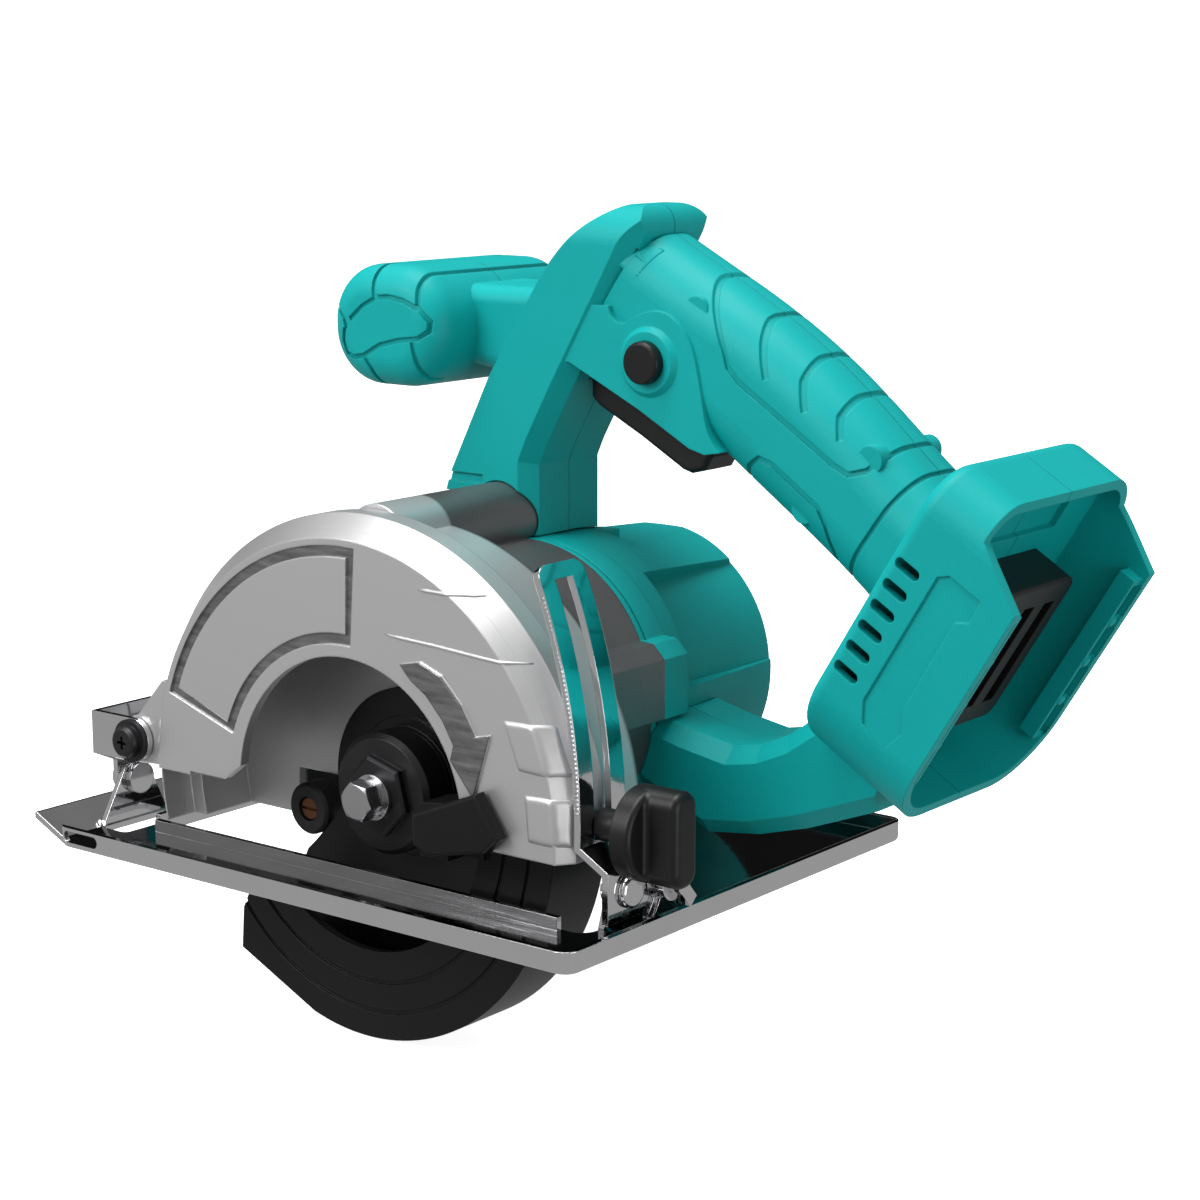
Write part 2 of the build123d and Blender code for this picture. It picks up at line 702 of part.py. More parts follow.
# Base plate of folded sheet
with BuildPart() as base_plate:
    with BuildSketch(Plane.XY):
        with Locations(((base_rear + base_front) / 2, (base_left + base_right) / 2)):
            RectangleRounded(base_front - base_rear, base_left - base_right, 5)
    extrude(amount=flange_height)
    with BuildSketch(Plane.XY.offset(sheet)):
        with Locations(((base_rear + base_front) / 2 + 10, (base_left + base_right) / 2)):
            Rectangle(base_front - base_rear - 2 * sheet + 20, base_left - base_right - 2 * sheet)
    extrude(amount=20, mode=Mode.SUBTRACT)
    underside = base_plate.edges().filter_by_position(Axis.Z, -0.01, 0.01)
    fillet(underside.filter_by(lambda e: e.center().X < 90), 1.6)
    # Turned-up nose
    nose = [(94, 0), (97, 0), (109, 5.6), (109, 7.4), (108.2, 7.4), (96.6, sheet), (94, sheet)]
    slab(nose, base_left - 3, base_right + 3)
    # Openings for the blade and behind the front lug
    with BuildSketch(Plane.XY.offset(-1)):
        with Locations((1.5, -6)):
            RectangleRounded(163, 50, 5)
        with Locations((91, 14)):
            RectangleRounded(10, 26, 2)
    extrude(amount=4, mode=Mode.SUBTRACT)
    # Upstanding lips along the left and front edges of the blade opening
    slab([(-72, 0.5), (80, 0.5), (80, 5.4), (-72, 5.4)], 19 + sheet, 19)
    slab([(83, 0.5), (83 + sheet, 0.5), (83 + sheet, 5.4), (83, 5.4)], 16, -28)
    # Front lug and rear lug
    with BuildSketch(Plane.YZ.offset(96.8)):
        with BuildLine():
            Polyline((25, 0.5), (25, 3), (16, 18.6), (8, 18.6), (1, 3), (1, 0.5), close=True)
        make_face()
        with Locations((bevel_y, bevel_z)):
            Circle(2.55, mode=Mode.SUBTRACT)
    extrude(amount=1.8)
    with BuildSketch(Plane.YZ.offset(-86.8)):
        with BuildLine():
            Polyline(
                (20, 0.5),
                (20, 5),
                (16.5, 15.5),
                (14, 18.2),
                (10, 18.2),
                (6, 17.6),
                (-3, 17.6),
                (-5.5, 15),
                (-6, 0.5),
                close=True,
            )
        make_face()
        with Locations((bevel_y, bevel_z), (bevel_y - bevel_slot_radius, bevel_z)):
            Circle(2.55, mode=Mode.SUBTRACT)
    extrude(amount=1.8)
    # Slots for the rip fence bar
    for outside in (base_left + 5, base_right + 5):
        with BuildSketch(side_plane(outside)):
            with Locations((86, 3.6)):
                SlotOverall(14.4, 3.4)
        extrude(amount=10, mode=Mode.SUBTRACT)

with BuildPart() as bevel_rivets:
    rod_x(bevel_y, bevel_z, 4.7, 94.6, 96.6)
    rod_x(bevel_y, bevel_z, 2.5, 96, 101.5)
    rod_x(bevel_y, bevel_z, 4.7, 100.9, 102.6)
    rod_x(bevel_y, bevel_z, 4.7, -84.9, -83)
    rod_x(bevel_y, bevel_z, 2.5, -90, -84)
    rod_x(bevel_y, bevel_z, 4.7, -91, -89.2)
    fillet(bevel_rivets.edges().filter_by_position(Axis.X, -91.1, -90.9), 1.2)

with BuildPart() as bevel_bolt:
    rod_x(bevel_y - bevel_slot_radius, bevel_z, 4.2, -84.9, -82)
    rod_x(bevel_y - bevel_slot_radius, bevel_z, 2.4, -98, -84.8)

with BuildPart() as bevel_wing_nut:
    nut_y = bevel_y - bevel_slot_radius
    rod_x(nut_y, bevel_z, 4.6, -94.5, -89.3)
    for direction in (112, 228):
        with BuildSketch(Plane.YZ.offset(-97.5)):
            with BuildLine():
                Polyline(
                    polar(2.4, direction - 50, (nut_y, bevel_z)),
                    polar(7.4, direction - 14, (nut_y, bevel_z)),
                    polar(7.4, direction + 14, (nut_y, bevel_z)),
                    polar(2.4, direction + 50, (nut_y, bevel_z)),
                    close=True,
                )
            make_face()
        extrude(amount=6)
    rod_x(nut_y, bevel_z, 2.46, -100, -85, Mode.SUBTRACT)

# Handle housing, drawn whole and then split on the handle's mid-plane
mid_left = mid_y + arch_width / 2
mid_right = mid_y - arch_width / 2
with BuildPart() as arch_form:
    with BuildSketch(side_plane(mid_left)):
        with BuildLine():
            front = Polyline((8, 101.5), (21.5, 101.5), (20, 106.3), (4.8, 135.9), (-12.6, 162.5))
            brow = TangentArc(front @ 1, (-38.5, 185.3), tangent=front % 1)
            crown = TangentArc(brow @ 1, (-47.5, 177), tangent=brow % 1)
            Polyline(
                crown @ 1,
                (-35.9, 157),
                (-21.5, 132.5),
                (-12.6, 116.5),
                (-10.1, 111),
                (-10.1, 82),
                (8, 82),
                (8, 101.5),
            )
        make_face()
    extrude(amount=arch_width)
    chamfer(
        arch_form.edges().filter_by(
            lambda e: abs(abs(e.center().Y - mid_y) - arch_width / 2) < 0.01
            and e.center().X < -10
            and e.center().Z < 168
            and e.center().X < -8.5 - 0.56 * (e.center().Z - 111)
        ),
        chamfer_size,
    )
    # Rounded shoulders of the crown
    with BuildSketch(Plane.YZ.offset(-70)) as shoulders:
        with Locations((mid_y, 120)):
            Rectangle(arch_width, 131)
        fillet(shoulders.vertices().group_by(Axis.Y)[-1], 11)
    extrude(amount=110, mode=Mode.INTERSECT)

# Head of the grip over the trigger
with BuildPart() as head_form:
    with BuildSketch(side_plane(mid_y + 17.3)):
        with BuildLine():
            under = Polyline(
                (-24, 141.6),
                (-32.1, 137.8),
                (-48.7, 129.9),
                (-65.8, 120.6),
                (-70.8, 119.3),
                (-76, 120.2),
            )
            edge = Spline(
                under @ 1,
                (-71.6, 126.2),
                (-69.9, 133.5),
                (-68.1, 142.2),
                (-65.6, 149.5),
                (-61.4, 154.6),
                (-56.3, 157.2),
                (-51.2, 157),
                (-46, 155),
                (-42.5, 153.4),
                (-39.6, 154.6),
                (-38, 158),
            )
            Polyline(edge @ 1, (-32, 158), (-22, 141.6), under @ 0)
        make_face()
    extrude(amount=34.6)

# Grip, a soft-cornered loft along its sloping axis
grip_sections = [
    (-62, 139, 173, 32),
    (-36, 138.5, 176.2, 32.6),
    (-8, 138, 178.3, 33),
    (16, 138, 177.2, 33.5),
    (38, 138, 174.6, 35),
    (60, 136.5, 174.4, 37),
]


def grip_loft(inset):
    """Loft through the grip's sections, drawn in by an inset."""
    profiles = []
    for along, low, high, width in grip_sections:
        x, z = grip_point(along, (low + high) / 2)
        c, s = cos(radians(grip_angle)), sin(radians(grip_angle))
        plane = Plane((x, mid_y, z), x_dir=(0, -1, 0), z_dir=(-c, 0, -s))
        with BuildSketch(plane) as profile:
            RectangleRounded(width - 2 * inset, high - low - 2 * inset, 13.5 - inset)
        profiles.append(profile.sketch)
    loft(profiles)


with BuildPart() as grip_form:
    grip_loft(0)

with BuildPart() as grip_room:
    grip_loft(3)

# Sunk lines of the grip, as (along, height) points and a width
grip_lines = [
    (
        [
            (-43, 180),
            (-41, 176.5),
            (-38, 174.6),
            (-33, 171.6),
            (-22, 164.8),
            (-18.5, 162),
            (-13.4, 161.1),
            (22.5, 162.6),
            (28, 163.6),
            (31.4, 167.5),
            (32.4, 172.2),
            (33.2, 180),
        ],
        1.6,
    ),
    ([(-7.1, 167), (-14.6, 173), (-19.6, 177.3), (-22, 182)], 2.0),
    ([(7.4, 167.7), (1, 173.2), (-1.5, 178.2), (-2.5, 183)], 2.0),
    ([(20.3, 168.6), (15.5, 172.8), (14, 177.2), (13.4, 182)], 2.0),
    (
        [(1, 133), (1.4, 144), (3.4, 148.6), (7.5, 150), (26, 150.4), (30.4, 148), (35.6, 143), (39.5, 133)],
        1.6,
    ),
    ([(42.6, 130), (42.6, 190)], 1.5),
]
with BuildPart() as grip_grooves:
    for points, width in grip_lines:
        groove([grip_point(*point) for point in points], width)
    with BuildPart(mode=Mode.PRIVATE) as grip_core:
        grip_loft(0.8)
    add(grip_core.part, mode=Mode.SUBTRACT)

# Battery bay, a tray open to the rear
bay_plane = Plane(
    (bay_origin[0], mid_y, bay_origin[1]),
    x_dir=(0, -1, 0),
    z_dir=(bay_depth_dir[0], 0, bay_depth_dir[1]),
)


def bay_tray(inset, start, depth, mode=Mode.ADD):
    """Rounded tray shape across the bay, from a start depth."""
    with BuildSketch(bay_plane.offset(start)) as outline:
        with Locations((0, -6.5)):
            Rectangle(bay_width - 2 * inset, 90 - 2 * inset)
        fillet(outline.vertices().group_by(Axis.Y)[-1], 13 - inset)
        fillet(outline.vertices().group_by(Axis.Y)[0], 20 - inset)
    extrude(outline.sketch, amount=depth, mode=mode)


with BuildPart() as bay_form:
    bay_tray(0, 0, bay_depth)
    fillet(bay_form.faces().sort_by(Axis(bay_plane.origin, bay_plane.z_dir))[0].edges(), 4)
    slab(
        [
            bay_point(19, 60),
            bay_point(19, 38.1),
            bay_point(20, 29.2),
            bay_point(37, 19.4),
            bay_point(60, 19.4),
            bay_point(60, 60),
        ],
        0,
        -120,
        Mode.SUBTRACT,
    )

# Foot that ties the bay to the motor
with BuildPart() as foot_form:
    slab(
        [
            (-40, 46.5),
            (-52, 44.3),
            (-64.5, 41.2),
            (-79, 38.8),
            (-88, 40.5),
            (-97, 44.5),
            (-112, 55),
            (-124, 66),
            (-132, 46),
            (-126, 28),
            (-104, 19.6),
            (-87.7, 15),
            (-70.8, 12.8),
            (-46, 24),
            (-36, 36),
        ],
        mid_left,
        mid_right,
    )
    chamfer(
        foot_form.edges().filter_by(
            lambda e: abs(abs(e.center().Y - mid_y) - arch_width / 2) < 0.01 and -125 < e.center().X < -47
        ),
        4.5,
    )

# Front handle bar across the saw and the arm that holds it
bar_centre = (32.5, 149.5)


def bar_block(inset):
    """Bar with a full round section and soft ends, drawn in by an inset."""
    half = 34 - inset
    with BuildSketch(side_plane(mid_y + half)) as outline:
        with Locations(bar_centre):
            RectangleRounded(43 - 2 * inset, 35 - 2 * inset, 16.5 - inset)
    block = extrude(outline.sketch, amount=2 * half)
    fillet(block.edges().filter_by(lambda e: abs(abs(e.center().Y - mid_y) - half) < 0.01), 9)


with BuildPart() as bar_form:
    bar_block(0)

# Sunk lines on the ends and along the bar, as (x, z) points
bar_shell = [(46.2, 148.4), (46.8, 144.5), (45.6, 141.2), (42.8, 140.2), (38.9, 140.8), (32.6, 144.1)]
bar_shell += [(25.8, 145.8), (18, 146.8), (14.9, 148.9), (14.6, 151.6), (17.9, 155.2), (23.4, 157.4)]
bar_shell += [(28.9, 158.2), (33.4, 157.8)]
bar_shell += [(39.1, 155), (44, 151)]
end_lines = [
    bar_shell,
    [(34.2, 157.5), (35.2, 163), (36, 170)],
    [(45.4, 148.4), (46.4, 151.4), (50, 153.8), (58, 157)],
    [(20, 146.5), (19.4, 141), (18.4, 130)],
]
long_lines = [[(18, 155.5), (19, 161), (19.4, 170)], [(38.6, 141), (36.6, 137.4), (34.6, 128)]]
with BuildPart() as bar_grooves:
    for points in end_lines:
        groove(points, 1.5, -20, mid_y + 22)
        groove(points, 1.5, mid_y - 22, -104)
    for points in long_lines:
        groove(points, 1.5)
    with BuildPart(mode=Mode.PRIVATE) as bar_core:
        bar_block(0.8)
    add(bar_core.part, mode=Mode.SUBTRACT)

with BuildPart() as arm_form:
    slab([(-22, 161.5), (34, 161.5), (34, 141), (2, 136.5), (-14, 136.5)], mid_y + 16, mid_y - 16)
    fillet(
        arm_form.edges().filter_by(
            lambda e: abs(abs(e.center().Y - mid_y) - 16) < 0.01 and 0 < e.center().X < 20
        ),
        5,
    )

trigger_pivot = (-29, 141.8)
lock_centre = (-52, 143.3)
screw_points = [(0, 120), (-66, 158), (-101.8, 107), (-122.1, 122), (-74, 25), bar_centre]

with BuildPart() as housing_form:
    for form in (arch_form, head_form, grip_form, bay_form, foot_form, bar_form, arm_form):
        add(form.part)
    turned(
        Plane((lock_centre[0], 0, lock_centre[1])),
        Axis((lock_centre[0], 0, lock_centre[1]), (0, 1, 0)),
        [(0, -50), (10, -50), (10, -44.9), (8.4, -43.2), (0, -43.2)],
    )
    # Sunk lines on grip and bar, and the double notch at the foot of the arch
    add(grip_grooves.part, mode=Mode.SUBTRACT)
    add(bar_grooves.part, mode=Mode.SUBTRACT)
    slab([(7.5, 104.4), (24, 104.4), (24, 107), (7.5, 107)], -40, -45, Mode.SUBTRACT)
    # Hollow rooms for switch, wires and stiffness
    add(grip_room.part, mode=Mode.SUBTRACT)
    slab(
        [
            (13.5, 109.5),
            (-0.5, 135),
            (-18, 162),
            (-29, 174.5),
            (-38, 178),
            (-45, 174),
            (-51.5, 166),
            (-63.5, 149),
            (-66.5, 133),
            (-66.5, 127.5),
            (-64, 126),
            (-45, 138.5),
            (-37, 147.5),
            (-20, 147.5),
            (-17.6, 134),
            (-8.6, 117.5),
            (-6.6, 112),
            (-6.6, 109.5),
        ],
        mid_y + 14,
        mid_y - 14,
        Mode.SUBTRACT,
    )
    slab(
        [
            (-62, 36),
            (-78, 33),
            (-97, 34.5),
            (-106, 42),
            (-110, 38),
            (-104, 23.5),
            (-87.5, 18.7),
            (-71.5, 16.8),
            (-60, 22),
        ],
        mid_y + 14.5,
        mid_y - 14.5,
        Mode.SUBTRACT,
    )
    with BuildSketch(side_plane(-33)):
        with Locations(bar_centre):
            RectangleRounded(35, 27, 12)
    extrude(amount=58, mode=Mode.SUBTRACT)
    bay_tray(3, 3, bay_floor - 6, Mode.SUBTRACT)
    bay_tray(3, bay_floor, 40, Mode.SUBTRACT)
    # Seats on the motor flange, the motor barrel and the rounded boss
    with BuildSketch(motor_plane):
        with BuildLine():
            Polyline(
                (0, -40),
                (gear_case_radius + 0.3, -40),
                (gear_case_radius + 0.3, -66),
                (barrel_end_radius + 0.5, -107.5),
                (barrel_end_radius + 0.5, -120),
                (0, -120),
                close=True,
            )
        make_face()
    revolve(axis=motor_axis, mode=Mode.SUBTRACT)
    rod(1.5, 94.5, 11.3, -40, -56.4, Mode.SUBTRACT)
    slab([(-58.8, 43.7), (-58.8, 70), (-30, 70), (-30, 43.7)], -40, -55.3, Mode.SUBTRACT)
    # Rails for the battery on the side walls of the bay
    for rail_left, rail_right in ((-26, -32), (-92, -98)):
        slab(
            [bay_point(31, 17), bay_point(36, 17), bay_point(36, -38), bay_point(31, -38)],
            rail_left,
            rail_right,
        )
    # Air slots in the side walls of the bay
    for slot in range(6):
        with BuildSketch(side_plane(-15)):
            with Locations(bay_point(6.5, 10.4 - 6.7 * slot)):
                SlotOverall(8, 3.1, rotation=31.5)
        extrude(amount=15, mode=Mode.SUBTRACT)
        with BuildSketch(side_plane(-94)):
            with Locations(bay_point(6.5, 10.4 - 6.7 * slot)):
                SlotOverall(8, 3.1, rotation=31.5)
        extrude(amount=15, mode=Mode.SUBTRACT)
    # Plain sunk panels on the side walls, pockets in the rails and recesses in the floor
    panel = [(14.4, 14.1), (17, 16.5), (27.5, 16.5), (27.9, 10), (24.6, 7.5)]
    panel += [(24.9, -20.2), (28.3, -25.8), (26, -33.1), (17.5, -31.1), (14.5, -25.9)]
    slab([bay_point(*point) for point in panel], -20, -25.2, Mode.SUBTRACT)
    slab([bay_point(*point) for point in panel], -98.8, -105, Mode.SUBTRACT)
    for middle in (10, -4, -18, -31):
        pocket = [(33, middle + 5), (37, middle + 5), (37, middle - 5), (33, middle - 5)]
        slab([bay_point(*point) for point in pocket], -27.3, -30.7, Mode.SUBTRACT)
        slab([bay_point(*point) for point in pocket], -93.3, -96.7, Mode.SUBTRACT)
    with BuildSketch(bay_plane.offset(bay_floor - 1.8)):
        with Locations((2, 24.5)):
            Rectangle(34, 10)
        with Locations((-21, -38)):
            Rectangle(4, 11)
    extrude(amount=4, mode=Mode.SUBTRACT)
    # Trigger slot, trigger pin hole and lock-off button holes
    trigger_slot = [(-23.3, 150), (-23.3, 124), (-60, 100), (-70, 104), (-70, 129)]
    trigger_slot += [(-58, 138), (-44, 144.5), (-36, 150)]
    slab(trigger_slot, mid_y + 7.7, mid_y - 7.7, Mode.SUBTRACT)
    rod(*trigger_pivot, 1.5, mid_y + 13, mid_y - 13, Mode.SUBTRACT)
    rod(*lock_centre, 5.95, -30, -49, Mode.SUBTRACT)
    rod(*lock_centre, 5.25, -75, -90, Mode.SUBTRACT)
    # Screw bosses
    for x, z in screw_points:
        rod(x, z, 3.8, mid_y + 15, mid_y - 15)
    rod(*bar_centre, 3.8, -31, -93)

with BuildPart() as housing_left:
    add(housing_form.part)
    split(bisect_by=Plane.XZ.offset(-mid_y - 0.15), keep=Keep.BOTTOM)
    for x, z in screw_points:
        rod(x, z, 1.52, mid_y + 13, mid_y - 5, Mode.SUBTRACT)

with BuildPart() as housing_right:
    add(housing_form.part)
    split(bisect_by=Plane.XZ.offset(-mid_y + 0.15), keep=Keep.TOP)
    for x, z in screw_points:
        rod(x, z, 1.8, mid_y + 5, -75, Mode.SUBTRACT)
        rod(x, z, 3.5, -72.5, -110, Mode.SUBTRACT)

with BuildPart() as handle_screws:
    for x, z in screw_points:
        rod(x, z, 3.2, -72.6, -75)
        rod(x, z, 1.5, mid_y + 12, -72.7)
        with BuildSketch(side_plane(-74)):
            with Locations((x, z)):
                RegularPolygon(1.6, 6)
        extrude(amount=2, mode=Mode.SUBTRACT)

# Trigger, its pin and spring, lock-off button and switch
with BuildPart() as trigger:
    slab(
        [
            (-24.6, 131.2),
            (-27.5, 128),
            (-41.4, 121),
            (-56, 112.8),
            (-59, 112),
            (-63.5, 113.2),
            (-65.8, 117),
            (-65.8, 122.5),
            (-56, 130.3),
            (-42, 136.6),
            (-33, 145.5),
            (-26, 145.5),
            (-24.6, 142),
        ],
        mid_y + 7.3,
        mid_y - 7.3,
    )
    fillet(
        trigger.edges().filter_by(
            lambda e: abs(abs(e.center().Y - mid_y) - 7.3) < 0.01 and e.center().Z < 124
        ),
        1.5,
    )
    rod(*trigger_pivot, 1.56, -40, -90, Mode.SUBTRACT)

with BuildPart() as trigger_pin:
    rod(*trigger_pivot, 1.5, mid_y + 12.8, mid_y - 12.8)

with BuildPart() as trigger_spring:
    with BuildLine() as trigger_coil:
        coil((-45.2, mid_y, 137.4), "Z", 2.8, 2.4, 10)
    with BuildSketch(Plane(trigger_coil.line @ 0, z_dir=trigger_coil.line % 0)):
        Circle(0.4)
    sweep(path=trigger_coil.wires()[0])

with BuildPart() as lock_button:
    rod(*lock_centre, 5.9, -40.2, -48.5)
    fillet(lock_button.edges().filter_by_position(Axis.Y, -40.3, -40.1), 1)
    rod(*lock_centre, 3, -48, -75.4)
    rod(*lock_centre, 5.2, -75.2, -79)

with BuildPart() as switch_body:
    slab([(-46, 150), (-46, 168), (-26, 168), (-26, 150)], mid_y + 13.95, mid_y - 13.95)
    slab([(-40, 168), (-40, 172), (-34, 172), (-34, 168)], mid_y + 8, mid_y - 8)

# Terminal block and its blades in the battery bay
with BuildPart() as terminal_block:
    with BuildSketch(bay_plane.offset(bay_floor)):
        with Locations((0, -11)):
            RectangleRounded(38, 48, 4)
    extrude(amount=13)
    with BuildSketch(bay_plane.offset(bay_floor + 2)):
        with Locations((-10.5, -11), (0, -11), (10.5, -11)):
            Rectangle(5.5, 34)
    extrude(amount=14, mode=Mode.SUBTRACT)
    block_front = terminal_block.faces().sort_by(Axis(bay_plane.origin, bay_plane.z_dir))[-1]
    fillet(block_front.outer_wire().edges(), 1.2)

with BuildPart() as terminal_blades:
    with BuildSketch(bay_plane.offset(bay_floor + 2)):
        with Locations((-10.5, -11), (0, -11), (10.5, -11)):
            Rectangle(0.9, 20)
    extrude(amount=8)

pieces = {
    "blade_case": blade_case,
    "spindle": spindle,
    "drive_gear": drive_gear,
    "spindle_bearings": spindle_bearings,
    "inner_flange": inner_flange,
    "outer_flange": outer_flange,
    "bolt_washer": bolt_washer,
    "blade_bolt": blade_bolt,
    "rotor_shaft": rotor_shaft,
    "rotor_bearings": rotor_bearings,
    "bearing_plate": bearing_plate,
    "cooling_fan": cooling_fan,
    "armature": armature,
    "armature_windings": armature_windings,
    "commutator": commutator,
    "motor_can": motor_can,
    "field_magnets": field_magnets,
    "brush_plate": brush_plate,
    "carbon_brushes": carbon_brushes,
    "motor_housing": motor_housing,
    "motor_screws": motor_screws,
    "lower_guard": lower_guard,
    "guard_ring": guard_ring,
    "guard_spring": guard_spring,
    "stop_bumper": stop_bumper,
    "bumper_screw": bumper_screw,
    "front_strap": front_strap,
    "pivot_screw": pivot_screw,
    "depth_guide": depth_guide,
    "depth_knob": depth_knob,
    "base_plate": base_plate,
    "bevel_rivets": bevel_rivets,
    "bevel_bolt": bevel_bolt,
    "bevel_wing_nut": bevel_wing_nut,
    "housing_left": housing_left,
    "housing_right": housing_right,
    "handle_screws": handle_screws,
    "trigger": trigger,
    "trigger_pin": trigger_pin,
    "trigger_spring": trigger_spring,
    "lock_button": lock_button,
    "switch_body": switch_body,
    "terminal_block": terminal_block,
    "terminal_blades": terminal_blades,
}
os.makedirs("parts", exist_ok=True)
for name, piece in pieces.items():
    piece.part.label = name
    export_step(piece.part, f"parts/{name}.step")
    print(name, len(piece.part.solids()), round(piece.part.volume), piece.part.is_valid)
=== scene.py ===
import logging
import math
from dataclasses import dataclass
from enum import Enum
from typing import Any, Iterable, Sequence, Union

import bmesh
import bpy
from mathutils import Matrix, Vector
from mathutils.bvhtree import BVHTree


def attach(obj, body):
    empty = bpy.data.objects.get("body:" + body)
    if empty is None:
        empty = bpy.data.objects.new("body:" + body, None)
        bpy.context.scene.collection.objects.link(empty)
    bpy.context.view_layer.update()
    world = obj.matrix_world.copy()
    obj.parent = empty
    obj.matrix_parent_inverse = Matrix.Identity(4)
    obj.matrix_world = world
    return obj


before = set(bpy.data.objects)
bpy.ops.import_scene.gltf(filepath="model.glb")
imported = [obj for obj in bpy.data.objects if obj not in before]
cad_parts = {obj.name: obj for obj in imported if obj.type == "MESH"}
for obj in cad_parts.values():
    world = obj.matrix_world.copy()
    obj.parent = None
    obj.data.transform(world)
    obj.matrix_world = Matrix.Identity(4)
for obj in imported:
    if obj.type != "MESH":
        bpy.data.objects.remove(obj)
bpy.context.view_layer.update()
log = logging.getLogger("saw")

Colour = tuple[float, float, float]
Number = Union[int, float]
MM = 0.001
MIX_FACTOR, MIX_FIRST, MIX_SECOND = 0, 6, 7


class Field:
    """A shader socket that can be used in Python arithmetic."""

    def __init__(self, shader: "Shader", socket: bpy.types.NodeSocket) -> None:
        """Wrap one output socket of a shader's node tree."""
        self.shader = shader
        self.socket = socket

    def _math(self, operation: str, *values: Any) -> "Field":
        """Add one Math node.

        Args:
            operation: the Math node's operation.
            values: its inputs, fields or numbers.

        Returns:
            The node's result.
        """
        return self.shader.node("Math", {"operation": operation}, dict(enumerate(values)))["Value"]

    def __add__(self, other: Any) -> "Field":
        """Sum."""
        return self._math("ADD", self, other)

    __radd__ = __add__

    def __mul__(self, other: Any) -> "Field":
        """Product."""
        return self._math("MULTIPLY", self, other)

    __rmul__ = __mul__

    def __sub__(self, other: Any) -> "Field":
        """Difference."""
        return self._math("SUBTRACT", self, other)

    def __rsub__(self, other: Any) -> "Field":
        """Difference from a number."""
        return self._math("SUBTRACT", other, self)

    def __truediv__(self, other: Any) -> "Field":
        """Quotient."""
        return self._math("DIVIDE", self, other)

    def __pow__(self, other: Any) -> "Field":
        """Power."""
        return self._math("POWER", self, other)

    def inside(self, low: Number, high: Number) -> "Field":
        """1 between two limits, 0 elsewhere."""
        return self._math("GREATER_THAN", self, low) * self._math("LESS_THAN", self, high)

    def above(self, limit: Number, soft: Number) -> "Field":
        """Ramp from 0 to 1 as the value passes a limit.

        Args:
            limit: where the ramp is at a half.
            soft: the ramp's whole width.

        Returns:
            The clamped ramp.
        """
        sockets = {"Value": self, "From Min": limit - soft / 2, "From Max": limit + soft / 2}
        return self.shader.node("MapRange", {"clamp": True}, sockets)["Result"]


